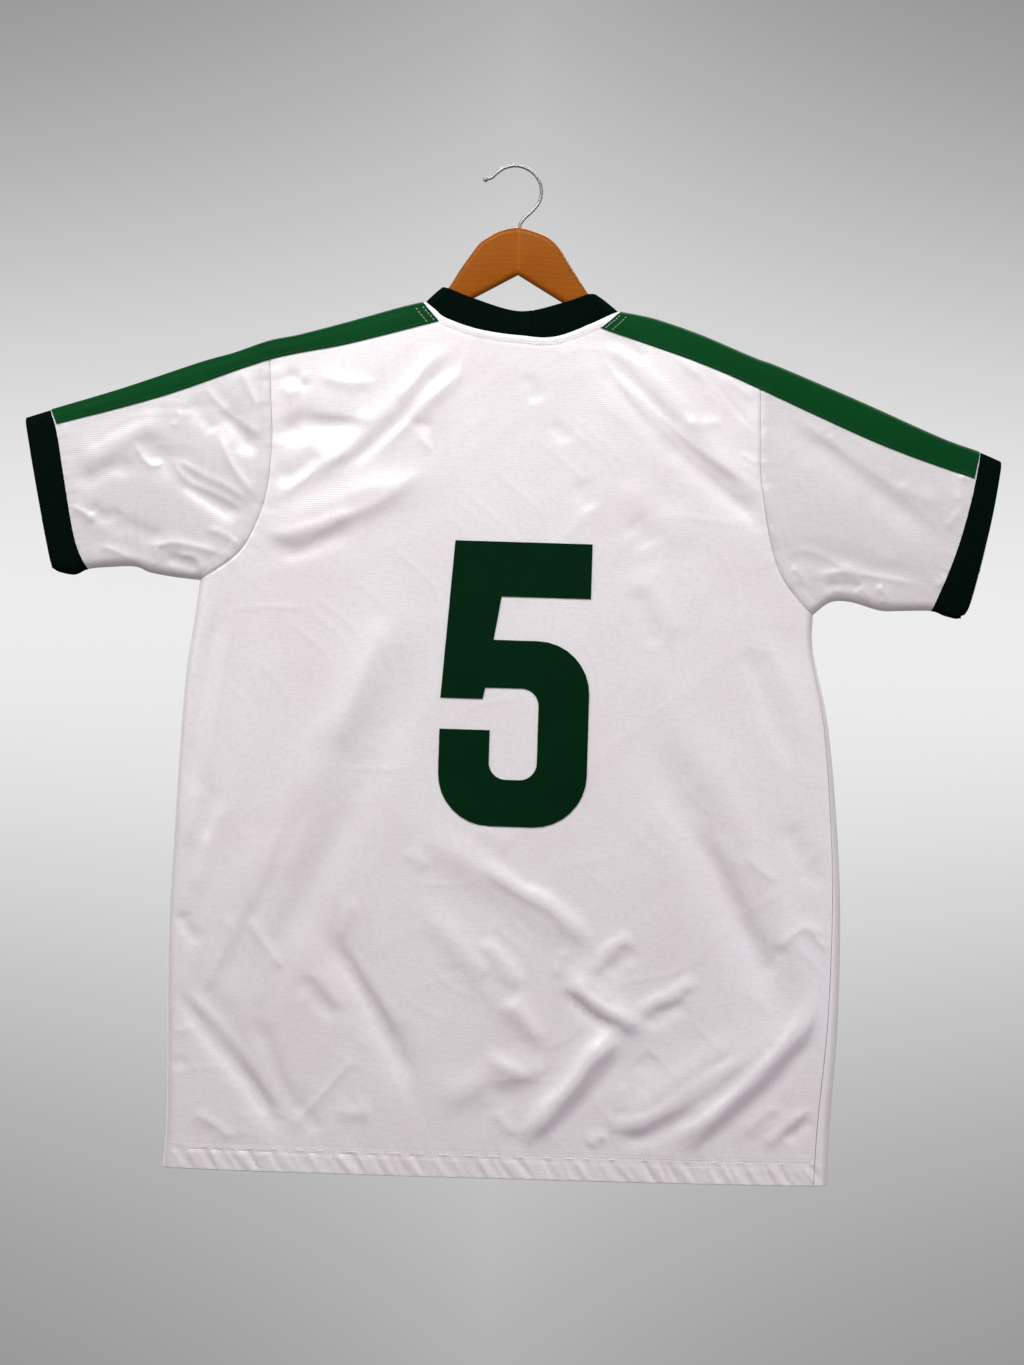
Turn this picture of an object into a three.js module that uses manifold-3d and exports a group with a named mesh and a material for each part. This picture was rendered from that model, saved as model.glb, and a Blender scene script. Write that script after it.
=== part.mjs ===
// Football jersey hung on a wooden hanger with a wire hook.
// Millimetres, +Z up. The back of the shirt faces -Y, and +X is to the right of someone looking at it.
// The origin is the top of the inside of the hook, where a rail carries it.
import * as THREE from 'three';
import { mergeVertices } from 'three/addons/utils/BufferGeometryUtils.js';
import Module from 'manifold-3d';

const wasm = await Module();
wasm.setup();

// Driving sizes

const CLOTH = 1.3;
const RIB = 2.0;
const SEAM_GAP = 0.3;
const BAND = 1.0;
const BAND_CLEARANCE = 0.5;
const BAND_WIDTH = 50;
const EDGE_RADIUS = 9;
const EDGE_DEPTH = 8;
const BELLY_DEPTH = 9;
const BELLY_REACH = 70;
const FOLD_FADE = 22;
const SLOPE_STEP = 2;
const COLLAR_TOP_DEPTH = 9.5;
const COLLAR_TOP_RADIUS = 8;
const WOOD_THICKNESS = 12;
const WOOD_ROUNDING = 5;
const WOOD_SEAT = 2.5;
const ARM_HEIGHT = 21;
const WIRE_RADIUS = 1.5;
const WIRE_TIP_RADIUS = 2.3;
const BORE_RADIUS = WIRE_RADIUS + 0.4;
const BORE_DEPTH = 24;

// Outlines in the plane Y = 0, each point as x, z

const LEFT = {
  shoulder: [[-74.7, -121], [-97.4, -126.9], [-141, -140.6], [-184.6, -153.4], [-210.8, -159.5]],
  sleeveTop: [[-210.8, -159.5], [-241.3, -171], [-271.8, -180.7], [-339.7, -205.7], [-401.6, -226.2]],
  cuffTop: [[-401.6, -226.2], [-423.4, -233.7]],
  side: [
    [-266, -371.6], [-270.2, -406.9], [-277.1, -468.7], [-282.1, -592.2],
    [-284.4, -689.1], [-281, -829.8], [-282.8, -888],
  ],
  underarm: [
    [-266, -371.6], [-288, -369.6], [-310.1, -366.2],
    [-323.5, -361.5], [-345.5, -362.5], [-364.8, -364.9],
  ],
  cuffLow: [[-364.8, -364.9], [-376.1, -370], [-389.3, -368.3], [-395.6, -365]],
  armhole: [
    [-210.8, -159.5], [-207.5, -211.3], [-205.5, -246.5], [-208.6, -290.6],
    [-219.8, -326.1], [-235.8, -350.4], [-266, -371.6],
  ],
  cuffSeam: [[-401.6, -226.2], [-395, -245], [-387.5, -282.8], [-376.1, -339.7], [-364.8, -364.9]],
  cuffEdge: [[-423.4, -233.7], [-414.1, -279.2], [-404.8, -323], [-395.6, -365]],
  bandEdge: [[-62.5, -138.6], [-140.4, -160.8], [-210.3, -177.2], [-304.3, -212.4], [-394.6, -239]],
};

const RIGHT = {
  shoulder: [
    [94.5, -124.6], [113.9, -127.5], [131.7, -131.4],
    [167.2, -142.6], [202.9, -156.7], [220.7, -163.4],
  ],
  sleeveTop: [[220.7, -163.4], [238.5, -169.3], [309.8, -197.3], [381.1, -226.8], [416.6, -238.6]],
  cuffTop: [[416.6, -238.6], [435.4, -246.2]],
  side: [
    [274.2, -385.9], [275.1, -416.7], [289.3, -477.9], [298.5, -548], [305.6, -635.8],
    [307, -741.4], [302.7, -829.6], [301.8, -887],
  ],
  underarm: [
    [274.2, -385.9], [288.8, -374.4], [306.3, -373.4],
    [333, -380.2], [350.6, -380], [377.8, -379.2],
  ],
  cuffLow: [[377.8, -379.2], [390.3, -383.2], [401.8, -385.3], [404.3, -381.9]],
  armhole: [
    [220.7, -163.4], [222, -233.4], [223.9, -268.6], [232.4, -316.7],
    [244.1, -351.6], [262.4, -375.7], [274.2, -385.9],
  ],
  cuffSeam: [[416.6, -238.6], [409.2, -280.5], [396.6, -329.3], [377.8, -379.2]],
  cuffEdge: [[435.4, -246.2], [427.3, -297.6], [411.7, -364.1], [404.3, -381.9]],
  bandEdge: [[79.5, -140.5], [168, -169], [221.5, -190.3], [328.5, -235.4], [410.8, -262.5]],
};

const NECK = {
  back: [
    [-74.7, -121], [-66.5, -127.8], [-55.7, -135.8], [-26.4, -145],
    [9, -149.2], [44.2, -148.2], [94.5, -124.6],
  ],
  front: [
    [-74.7, -121], [-69, -148], [-50, -186], [-18, -209], [12, -216],
    [44, -210], [74, -188], [91, -152], [94.5, -124.6],
  ],
  backTop: [
    [-60.1, -107.3], [-54, -109.4], [-32.5, -117.2], [8.3, -127.2],
    [45.9, -118.6], [67.6, -110.6], [74.7, -110.2],
  ],
  frontTop: [
    [-60.1, -107.3], [-54, -136], [-38, -170], [-12, -189], [12, -194],
    [38, -190], [62, -171], [75, -140], [74.7, -110.2],
  ],
};

// Folds: the ends of a soft ridge (or, with a minus height, a trough), its half width and its height

const BACK_FOLDS = [
  { from: [-94, -394], to: [-223, -687], width: 24, height: 4.5 },
  { from: [-66, -430], to: [-196, -720], width: 18, height: -3.5 },
  { from: [-235, -379], to: [-262, -618], width: 15, height: -4 },
  { from: [-262, -716], to: [-174, -860], width: 14, height: -4 },
  { from: [-147, -663], to: [-61, -823], width: 16, height: -3.5 },
  { from: [126, -480], to: [260, -746], width: 20, height: -4.5 },
  { from: [160, -470], to: [290, -730], width: 18, height: 3 },
  { from: [-68, -584], to: [90, -683], width: 15, height: 3 },
  { from: [-62, -651], to: [51, -768], width: 13, height: 3 },
  { from: [64, -705], to: [136, -756], width: 12, height: 3.5 },
  { from: [113, -752], to: [39, -850], width: 14, height: 4.5 },
  { from: [232, -752], to: [111, -839], width: 13, height: 3 },
  { from: [279, -732], to: [167, -857], width: 15, height: 4.5 },
  { from: [46, -783], to: [-44, -821], width: 14, height: 3 },
  { from: [71, -153], to: [229, -312], width: 13, height: -4 },
  { from: [100, -165], to: [235, -300], width: 11, height: 3 },
  { from: [-52, -182], to: [-164, -270], width: 14, height: 3 },
  { from: [-205, -240], to: [-122, -232], width: 12, height: -3 },
  { from: [-212, -326], to: [-79, -276], width: 15, height: 3.5 },
  { from: [-325, -250], to: [-224, -313], width: 13, height: -3.5 },
  { from: [-267, -200], to: [-215, -262], width: 12, height: -3 },
  { from: [-368, -340], to: [-300, -352], width: 10, height: -2.5 },
  { from: [226, -198], to: [397, -322], width: 17, height: -4 },
  { from: [248, -330], to: [372, -356], width: 12, height: -3 },
];

const FRONT_FOLDS = [
  { from: [-180, -330], to: [-90, -560], width: 30, height: 4 },
  { from: [180, -340], to: [60, -600], width: 28, height: -4 },
  { from: [-240, -560], to: [-60, -800], width: 26, height: -4 },
  { from: [30, -640], to: [240, -800], width: 26, height: 4 },
  { from: [-150, -190], to: [-60, -300], width: 22, height: 3 },
  { from: [170, -200], to: [90, -310], width: 22, height: 3 },
  { from: [-340, -240], to: [-230, -320], width: 18, height: -3.5 },
  { from: [360, -260], to: [250, -330], width: 18, height: -3.5 },
];

// Sample places along the seams, denser where the cloth turns over at a shoulder, armpit or side

const ARMHOLE_STEPS = [
  0, 0.005, 0.016, 0.04, 0.08, 0.14, 0.21, 0.29, 0.37, 0.45,
  0.54, 0.63, 0.72, 0.8, 0.87, 0.93, 0.968, 0.988, 1,
];
const SLEEVE_STEPS = [0, 0.04, 0.13, 0.24, 0.35, 0.46, 0.57, 0.68, 0.79, 0.9, 1];
const BACK_COLUMNS = {
  shoulder: [0, 0.007, 0.022, 0.055, 0.12, 0.2, 0.3, 0.41, 0.52, 0.63, 0.74, 0.86, 1],
  neck: [0.014, 0.04, 0.09, 0.18, 0.29, 0.4, 0.5, 0.6, 0.71, 0.82, 0.91, 0.96, 0.986],
};
const FRONT_COLUMNS = {
  shoulder: [0, 0.007, 0.022, 0.06, 0.18, 0.36, 0.6, 0.82, 1],
  neck: [0.012, 0.04, 0.12, 0.24, 0.37, 0.5, 0.63, 0.76, 0.88, 0.96, 0.988],
};
// On the right the front panel wraps round the side: its width on the back, below the armpit and at the hem
const WRAP = { top: 2, hem: 13, gap: 0.5, columns: [0.12, 0.45, 1] };
const ARMHOLE_STRIP = 0.6;
const FRONT_HEM_DROP = 4;
const BACK_BODY_ROWS = 20;
const FRONT_BODY_ROWS = 12;
const LEFT_NECK_COLUMN = 0.315;
const RIGHT_NECK_COLUMN = 0.708;

// Plane curves

const mix = (a, b, f) => a + (b - a) * f;
const mixPoint = (a, b, f) => [mix(a[0], b[0], f), mix(a[1], b[1], f)];
const distance = (a, b) => Math.hypot(a[0] - b[0], a[1] - b[1]);

// A smooth line through a few points: a Catmull-Rom curve with its ends doubled
const SPAN_STEPS = 12;
function smoothLine(points) {
  const line = [points[0]];
  for (let i = 0; i + 1 < points.length; i += 1) {
    const before = points[Math.max(i - 1, 0)];
    const start = points[i];
    const end = points[i + 1];
    const after = points[Math.min(i + 2, points.length - 1)];
    for (let k = 1; k <= SPAN_STEPS; k += 1) {
      const t = k / SPAN_STEPS;
      line.push([0, 1].map((axis) => 0.5 * (2 * start[axis]
        + (end[axis] - before[axis]) * t
        + (2 * before[axis] - 5 * start[axis] + 4 * end[axis] - after[axis]) * t * t
        + (3 * start[axis] - before[axis] - 3 * end[axis] + after[axis]) * t * t * t)));
    }
  }
  return line;
}

// The point at a fraction of a line's length
function along(line, fraction) {
  let total = 0;
  for (let i = 1; i < line.length; i += 1) {
    total += distance(line[i - 1], line[i]);
  }
  let rest = fraction * total;
  for (let i = 1; i < line.length; i += 1) {
    const span = distance(line[i - 1], line[i]);
    if (rest <= span) {
      return mixPoint(line[i - 1], line[i], rest / span);
    }
    rest -= span;
  }
  return line[line.length - 1];
}

// Places on a line, each moved by the same amount to the left of the way the line runs
function trimmed(places, amount) {
  return places.map((place, i) => {
    const before = places[Math.max(i - 1, 0)];
    const after = places[Math.min(i + 1, places.length - 1)];
    const span = distance(before, after);
    return [
      place[0] - amount * (after[1] - before[1]) / span,
      place[1] + amount * (after[0] - before[0]) / span,
    ];
  });
}

// The distance to the nearest of some lines and the direction away from its nearest point
function awayFrom(lines, x, z) {
  let best = { distance: Infinity, x: 0, z: 0 };
  for (const line of lines) {
    for (let i = 1; i < line.length; i += 1) {
      const [ax, az] = line[i - 1];
      const [bx, bz] = line[i];
      const spanSquared = (bx - ax) ** 2 + (bz - az) ** 2;
      const nearest = ((x - ax) * (bx - ax) + (z - az) * (bz - az)) / spanSquared;
      const f = Math.min(1, Math.max(0, nearest));
      const dx = x - mix(ax, bx, f);
      const dz = z - mix(az, bz, f);
      const d = Math.hypot(dx, dz);
      if (d < best.distance) {
        best = { distance: d, x: dx / Math.max(d, 1e-9), z: dz / Math.max(d, 1e-9) };
      }
    }
  }
  return best;
}

// One smooth line through several lists of points, each of which starts where the last one ends
function joinedLine(lists) {
  const line = smoothLine(lists.reduce((all, points) => [...all, ...points.slice(1)]));
  let start = 0;
  return lists.map((points) => {
    const end = start + (points.length - 1) * SPAN_STEPS;
    const piece = line.slice(start, end + 1);
    start = end;
    return piece;
  });
}

function smoothLines(outlines) {
  return Object.fromEntries(Object.entries(outlines).map(([name, points]) => [name, smoothLine(points)]));
}

function drawnSide(side) {
  const lines = smoothLines(side);
  const ridge = joinedLine([side.shoulder, side.sleeveTop, side.cuffTop]);
  [lines.shoulder, lines.sleeveTop, lines.cuffTop] = ridge;
  [lines.underarm, lines.cuffLow] = joinedLine([side.underarm, side.cuffLow]);
  lines.ridge = ridge.flat();
  lines.low = [...[...lines.side].reverse(), ...lines.underarm, ...lines.cuffLow];
  return lines;
}

const left = drawnSide(LEFT);
const right = drawnSide(RIGHT);
const ridges = [left.ridge, right.ridge];
const lows = [left.low, right.low];
const neck = smoothLines(NECK);

// The form of the cloth: half the shirt's thickness at a place, rounded over at the shoulders and sides

function roundedEdge(d) {
  const near = Math.max(Math.min(d, EDGE_RADIUS), 0.01);
  const level = Math.sqrt(1 - (1 - near / EDGE_RADIUS) ** 2);
  const slope = d < EDGE_RADIUS ? (1 - near / EDGE_RADIUS) / (EDGE_RADIUS * level) : 0;
  return { level, slope };
}

function foldHeight(folds, x, z) {
  let height = 0;
  for (const fold of folds) {
    const [ax, az] = fold.from;
    const [bx, bz] = fold.to;
    const length = Math.hypot(bx - ax, bz - az);
    const f = ((x - ax) * (bx - ax) + (z - az) * (bz - az)) / length ** 2;
    const across = ((x - ax) * (bz - az) - (z - az) * (bx - ax)) / length;
    if (f > -0.3 && f < 1.3) {
      const ends = Math.exp(-((Math.max(0, Math.abs(f - 0.5) - 0.25) / 0.2) ** 2));
      height += fold.height * ends * Math.exp(-((across / fold.width) ** 2));
    }
  }
  return height;
}

function foldFade(d) {
  return (1 - Math.exp(-d / FOLD_FADE)) ** 2;
}

// The outer surface at x, z on the back (face -1) or the front (face 1), with its outward direction
function surface(face, x, z) {
  const ridge = awayFrom(ridges, x, z);
  const low = awayFrom(lows, x, z);
  const ridgeEdge = roundedEdge(ridge.distance);
  const lowEdge = roundedEdge(low.distance);
  const ridgeBelly = 1 - Math.exp(-ridge.distance / BELLY_REACH);
  const lowBelly = 1 - Math.exp(-low.distance / BELLY_REACH);
  const folds = face < 0 ? BACK_FOLDS : FRONT_FOLDS;
  const folded = (px, pz) => foldHeight(folds, px, pz) * foldFade(ridge.distance) * foldFade(low.distance);
  const depth = EDGE_DEPTH * ridgeEdge.level * lowEdge.level
    + BELLY_DEPTH * ridgeBelly * lowBelly + folded(x, z);
  const fromRidge = EDGE_DEPTH * ridgeEdge.slope * lowEdge.level
    + (BELLY_DEPTH / BELLY_REACH) * (1 - ridgeBelly) * lowBelly;
  const fromLow = EDGE_DEPTH * lowEdge.slope * ridgeEdge.level
    + (BELLY_DEPTH / BELLY_REACH) * (1 - lowBelly) * ridgeBelly;
  const foldX = (folded(x + SLOPE_STEP, z) - folded(x - SLOPE_STEP, z)) / (2 * SLOPE_STEP);
  const foldZ = (folded(x, z + SLOPE_STEP) - folded(x, z - SLOPE_STEP)) / (2 * SLOPE_STEP);
  const slopeX = fromRidge * ridge.x + fromLow * low.x + foldX;
  const slopeZ = fromRidge * ridge.z + fromLow * low.z + foldZ;
  const outward = new THREE.Vector3(-slopeX, face, -slopeZ).normalize();
  return { place: new THREE.Vector3(x, face * depth, z), outward };
}

// A place on the outline itself, where the cloth turns over: its direction lies in the plane of the outline
function turnedEdge(face, point, towards) {
  const inside = mixPoint(point, towards, 0.5);
  const { outward } = surface(face, inside[0], inside[1]);
  outward.y = 0;
  return {
    place: new THREE.Vector3(point[0], face * SEAM_GAP / 2, point[1]),
    outward: outward.normalize(),
  };
}

// Closed bodies

function geometryOf(vertices, triangles) {
  const geometry = new THREE.BufferGeometry();
  const positions = vertices.flatMap((vertex) => vertex.toArray());
  geometry.setAttribute('position', new THREE.Float32BufferAttribute(positions, 3));
  geometry.setIndex(triangles.flat());
  return geometry;
}

function volumeOf(vertices, triangles) {
  const edge = new THREE.Vector3();
  return triangles.reduce((sum, [a, b, c]) => (
    sum + edge.copy(vertices[a]).cross(vertices[b]).dot(vertices[c]) / 6), 0);
}

// A wall between two grids of points, closed along its rims. A ring's columns meet end to end.
function wall(outer, inner, ring) {
  const rows = outer.length;
  const columns = outer[0].length;
  const vertices = [...outer.flat(), ...inner.flat()];
  const at = (layer, row, column) => layer * rows * columns + row * columns + (column % columns);
  const triangles = [];
  const quad = (a, b, c, d) => {
    const shortFirst = vertices[a].distanceTo(vertices[c]) <= vertices[b].distanceTo(vertices[d]);
    triangles.push(...(shortFirst ? [[a, b, c], [a, c, d]] : [[a, b, d], [b, c, d]]));
  };
  const spans = ring ? columns : columns - 1;
  for (let row = 0; row + 1 < rows; row += 1) {
    for (let column = 0; column < spans; column += 1) {
      quad(at(0, row, column), at(0, row, column + 1), at(0, row + 1, column + 1), at(0, row + 1, column));
      quad(at(1, row + 1, column), at(1, row + 1, column + 1), at(1, row, column + 1), at(1, row, column));
    }
    if (!ring) {
      quad(at(0, row + 1, 0), at(1, row + 1, 0), at(1, row, 0), at(0, row, 0));
      const last = columns - 1;
      quad(at(0, row, last), at(1, row, last), at(1, row + 1, last), at(0, row + 1, last));
    }
  }
  const top = rows - 1;
  for (let column = 0; column < spans; column += 1) {
    quad(at(0, 0, column + 1), at(0, 0, column), at(1, 0, column), at(1, 0, column + 1));
    quad(at(0, top, column), at(0, top, column + 1), at(1, top, column + 1), at(1, top, column));
  }
  if (volumeOf(vertices, triangles) < 0) {
    triangles.forEach((triangle) => triangle.reverse());
  }
  return geometryOf(vertices, triangles);
}

const moved = (point, amount) => point.place.clone().addScaledVector(point.outward, amount);

// A wall whose outside is a grid of surface points and whose thickness lies under them
function clothWall(points, thickness, ring) {
  const outer = points.map((row) => row.map((point) => point.place));
  const inner = points.map((row) => row.map((point) => moved(point, -thickness)));
  return wall(outer, inner, ring);
}

// Panels

function columnsOf({ shoulder, neck: neckColumns }) {
  const fromLeft = shoulder.map((f) => ({ part: 'left', f, across: f * LEFT_NECK_COLUMN }));
  const middle = neckColumns.map((f) => (
    { part: 'neck', f, across: mix(LEFT_NECK_COLUMN, RIGHT_NECK_COLUMN, f) }));
  const fromRight = shoulder.map((f) => ({ part: 'right', f, across: mix(1, RIGHT_NECK_COLUMN, f) }));
  return [...fromLeft, ...middle, ...fromRight.reverse()];
}

// The top of a panel: its shoulder lines, and its neck line less half a seam's gap
function topPlaces(columns, neckLine, topRow) {
  const atNeck = columns.filter((column) => column.part === 'neck').map((column) => column.f);
  const neckPlaces = trimmed([0, ...atNeck, 1].map((f) => along(neckLine, f)), -SEAM_GAP / 2);
  const fromLeft = columns.filter((column) => column.part === 'left' && column.f < 1);
  const fromRight = columns.filter((column) => column.part === 'right' && column.f < 1);
  return [
    topRow.start,
    ...fromLeft.slice(1).map((column) => along(left.shoulder, 1 - column.f)),
    ...neckPlaces,
    ...fromRight.slice(0, -1).map((column) => along(right.shoulder, 1 - column.f)),
    topRow.end,
  ];
}

// The rows of a panel from the shoulder down: where each one starts and ends, and how far it rises to the top
function panelRows(face, bodyRows) {
  const half = SEAM_GAP / 2;
  const strip = face > 0 ? ARMHOLE_STRIP : 0;
  const leftEdge = trimmed(ARMHOLE_STEPS.map((f) => along(left.armhole, f)), half);
  const rightEdge = trimmed(ARMHOLE_STEPS.map((f) => along(right.armhole, f)), -half - strip);
  const armhole = ARMHOLE_STEPS.map((f, i) => ({
    start: leftEdge[i],
    end: rightEdge[i],
    rise: (1 - f) ** 2,
    onArmhole: f > 0 && f < 1,
    wrap: 0,
    drop: 0,
  }));
  const body = Array.from({ length: bodyRows }, (_, i) => {
    const f = (i + 1) / bodyRows;
    const wrap = mix(WRAP.top, WRAP.hem, f);
    const [x, z] = along(right.side, f);
    return {
      start: along(left.side, f),
      end: face > 0 ? [x, z] : [x - wrap - WRAP.gap / 2, z],
      rise: 0,
      onArmhole: false,
      wrap,
      drop: face > 0 ? FRONT_HEM_DROP * f ** 4 : 0,
    };
  });
  return [...armhole, ...body];
}

function panelPoints(face, columnPlan, bodyRows, neckLine) {
  const columns = columnsOf(columnPlan);
  const last = columns.length - 1;
  const rows = panelRows(face, bodyRows);
  const tops = topPlaces(columns, neckLine, rows[0]);
  const place = (row, j) => {
    const { across } = columns[j];
    const [x, z] = mixPoint(row.start, row.end, across);
    const base = mixPoint(rows[0].start, rows[0].end, across);
    return [
      x + (tops[j][0] - base[0]) * row.rise,
      z + (tops[j][1] - base[1]) * row.rise - row.drop * Math.sin(Math.PI * across),
    ];
  };
  return rows.map((row, i) => {
    const beside = rows[Math.max(i, 1)];
    const points = columns.map((column, j) => {
      const point = place(row, j);
      const onTop = i === 0 && column.part !== 'neck';
      if (onTop || (j === 0 && !row.onArmhole)) {
        return turnedEdge(face, point, place(beside, j === 0 ? 1 : j));
      }
      if (j === last && row.wrap > 0 && face > 0) {
        const edge = turnedEdge(face, point, place(beside, j - 1));
        edge.place.y = 0;
        return edge;
      }
      return surface(face, point[0], point[1]);
    });
    return face > 0 ? [...points, ...wrapPoints(row, i, place(row, last))] : points;
  });
}

// The strip of the front panel that lies past the right side, or along the right armhole above it
function wrapPoints(row, i, edge) {
  return WRAP.columns.map((f) => {
    if (row.wrap > 0) {
      return surface(-1, edge[0] - row.wrap * f + (f === 1 ? WRAP.gap / 2 : 0), edge[1]);
    }
    const [x, z] = [edge[0] + ARMHOLE_STRIP * f, edge[1]];
    return i === 0 ? turnedEdge(1, [x, z], [x, z - 1]) : surface(1, x, z);
  });
}

// Sleeves and cuffs: rings that run down the back of the sleeve and up its front

function ringPoints(topPoint, lowPoint, shapeAt, trim) {
  const places = trimmed(ARMHOLE_STEPS.map((f) => {
    const straight = mixPoint(topPoint, lowPoint, f);
    const bend = shapeAt(f);
    return [straight[0] + bend[0], straight[1] + bend[1]];
  }), trim);
  const last = places.length - 1;
  const back = places.map((p, i) => {
    if (i === 0 || i === last) {
      const edge = turnedEdge(-1, p, places[i === 0 ? 1 : last - 1]);
      edge.place.y = 0;
      return edge;
    }
    return surface(-1, p[0], p[1]);
  });
  const front = places.slice(1, last).map((p) => surface(1, p[0], p[1]));
  return [...back, ...front.reverse()];
}

function bendOf(line) {
  const start = line[0];
  const end = line[line.length - 1];
  return (f) => {
    const on = along(line, f);
    const straight = mixPoint(start, end, f);
    return [on[0] - straight[0], on[1] - straight[1]];
  };
}

function sleevePoints(lines, outwardX) {
  const atArmhole = bendOf(lines.armhole);
  const atCuff = bendOf(lines.cuffSeam);
  const last = SLEEVE_STEPS.length - 1;
  const trims = { 0: outwardX * SEAM_GAP / 2, [last]: -outwardX * SEAM_GAP / 2 };
  return SLEEVE_STEPS.map((g, i) => ringPoints(
    along(lines.sleeveTop, g),
    along(lines.underarm, g),
    (f) => mixPoint(atArmhole(f), atCuff(f), g),
    trims[i] ?? 0,
  ));
}

function cuffPoints(lines, outwardX) {
  const atSeam = bendOf(lines.cuffSeam);
  const atEdge = bendOf(lines.cuffEdge);
  return [0, 0.5, 1].map((g) => ringPoints(
    along(lines.cuffTop, g),
    along(lines.cuffLow, g),
    (f) => mixPoint(atSeam(f), atEdge(f), g),
    g === 0 ? outwardX * SEAM_GAP / 2 : 0,
  ));
}

// Neckband: a ribbed ring that stands on the neck seam and leans in over the hanger

function collarPoints() {
  const backSteps = [0, ...BACK_COLUMNS.neck, 1];
  const frontSteps = [0, ...FRONT_COLUMNS.neck, 1];
  const half = SEAM_GAP / 2;
  const backSeam = trimmed(backSteps.map((f) => along(neck.back, f)), half);
  const frontSeam = trimmed(frontSteps.map((f) => along(neck.front, f)), half);
  const backStations = backSteps.map((f, i) => ({ face: -1, f, seam: backSeam[i], top: neck.backTop }));
  const frontStations = frontSteps.map((f, i) => ({ face: 1, f, seam: frontSeam[i], top: neck.frontTop }));
  const stations = [...backStations, ...frontStations.slice(1, -1).reverse()];
  const ends = [neck.backTop[0], neck.backTop[neck.backTop.length - 1]];
  return stations.map(({ face, f, seam, top }) => {
    const topPlace = along(top, f);
    const onEnd = f === 0 || f === 1;
    const low = onEnd ? turnedEdge(face, seam, [seam[0], seam[1] - 2]) : surface(face, seam[0], seam[1]);
    const fromEnd = Math.min(distance(topPlace, ends[0]), distance(topPlace, ends[1]));
    const near = Math.min(fromEnd, COLLAR_TOP_RADIUS) / COLLAR_TOP_RADIUS;
    const topDepth = COLLAR_TOP_DEPTH * Math.sqrt(1 - (1 - near) ** 2);
    const high = new THREE.Vector3(topPlace[0], face * topDepth, topPlace[1]);
    if (onEnd) {
      low.place.y = 0;
      high.y = 0;
    }
    return { low, high };
  });
}

function collarGeometry() {
  const stations = collarPoints();
  const count = stations.length;
  const outerRows = [[], [], []];
  const innerRows = [[], [], []];
  const rim = new THREE.Vector3();
  const rise = new THREE.Vector3();
  stations.forEach((station, i) => {
    const before = stations[(i + count - 1) % count].high;
    const after = stations[(i + 1) % count].high;
    rim.subVectors(after, before);
    rise.subVectors(station.high, station.low.place);
    const outward = rim.clone().cross(rise).normalize();
    const middle = station.low.place.clone().lerp(station.high, 0.5);
    const middleOutward = outward.clone().add(station.low.outward).normalize();
    outerRows[0].push(station.low.place);
    innerRows[0].push(moved(station.low, -RIB));
    outerRows[1].push(middle);
    innerRows[1].push(middle.clone().addScaledVector(middleOutward, -RIB));
    outerRows[2].push(station.high);
    innerRows[2].push(station.high.clone().addScaledVector(outward, -RIB));
  });
  return wall(outerRows, innerRows, true);
}

// Shoulder bands: a tape over the shoulder line, from the neck seam to the cuff seam

const BAND_STATIONS = {
  shoulder: [0.02, 0.14, 0.28, 0.42, 0.58, 0.8],
  sleeve: [0, 0.03, 0.1, 0.2, 0.3, 0.45, 0.6, 0.8, 0.996],
};
// Shares of the band's width from its edge up to the shoulder line
const BAND_ACROSS = [1, 0.7, 0.42, 0.2, 0.08, 0.02];

function bandGeometry(lines) {
  const stations = [
    ...BAND_STATIONS.shoulder.map((f) => along(lines.shoulder, f)),
    ...BAND_STATIONS.sleeve.map((f) => along(lines.sleeveTop, f)),
  ];
  const first = stations[0];
  const last = stations[stations.length - 1];
  const rows = stations.map((top) => {
    const backEdge = along(lines.bandEdge, distance(first, top) / distance(first, last));
    const backWidth = distance(top, backEdge);
    const frontWidth = BAND_WIDTH - backWidth;
    const leaning = mixPoint(top, backEdge, frontWidth / backWidth);
    const straightDown = [top[0], top[1] - frontWidth];
    const frontEdge = top === first ? straightDown : leaning;
    const back = BAND_ACROSS.map((g) => {
      const [x, z] = mixPoint(top, backEdge, g);
      return surface(-1, x, z);
    });
    const front = BAND_ACROSS.map((g) => {
      const [x, z] = mixPoint(top, frontEdge, g);
      return surface(1, x, z);
    });
    const ridge = turnedEdge(-1, top, mixPoint(top, backEdge, 0.06));
    ridge.place.y = 0;
    return [...back, ridge, ...front.reverse()];
  });
  const outer = rows.map((row) => row.map((point) => moved(point, BAND_CLEARANCE + BAND)));
  const inner = rows.map((row) => row.map((point) => moved(point, BAND_CLEARANCE)));
  return wall(outer, inner, false);
}

// Hanger: a flat wooden body, bell-shaped under the hook, with arms that carry the shoulders

const WOOD_CROWN_TOP = [4.3, -53];
const WOOD_CROWN = [
  [-54, -106.2], [-45.6, -91.9], [-37.2, -79.3], [-28.7, -67.6], [-20.1, -61.2], [-11.5, -56.5],
  WOOD_CROWN_TOP,
  [23.8, -57.6], [34.5, -63], [41.8, -70.7], [49.2, -82], [58.4, -95.8], [67.6, -108.7],
];
const WOOD_LEFT_NECK = [[-80, -128], [-74, -126.4], [-67, -121], [-60, -113.2]];
const WOOD_RIGHT_NECK = [[74.7, -116.4], [81, -122], [88, -127], [96, -130.4]];
const WOOD_CROTCH = [5.5, -94.7];
const WOOD_UNDER_LEFT = [[-85, -148], [-32.5, -116.2]];
const WOOD_UNDER_RIGHT = [[45.9, -118.2], [100, -151]];
const ARM_REACH = { left: -212, right: 222 };
const ARM_START = { left: -90, right: 104 };
// The rounded end of an arm: shares of the tip's length inward and of the arm's height down
const TIP_LENGTH = 6;
const TIP_ROUND = [[0.25, 0.18], [0, 0.45], [0.15, 0.75], [1, 1]];

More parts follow.
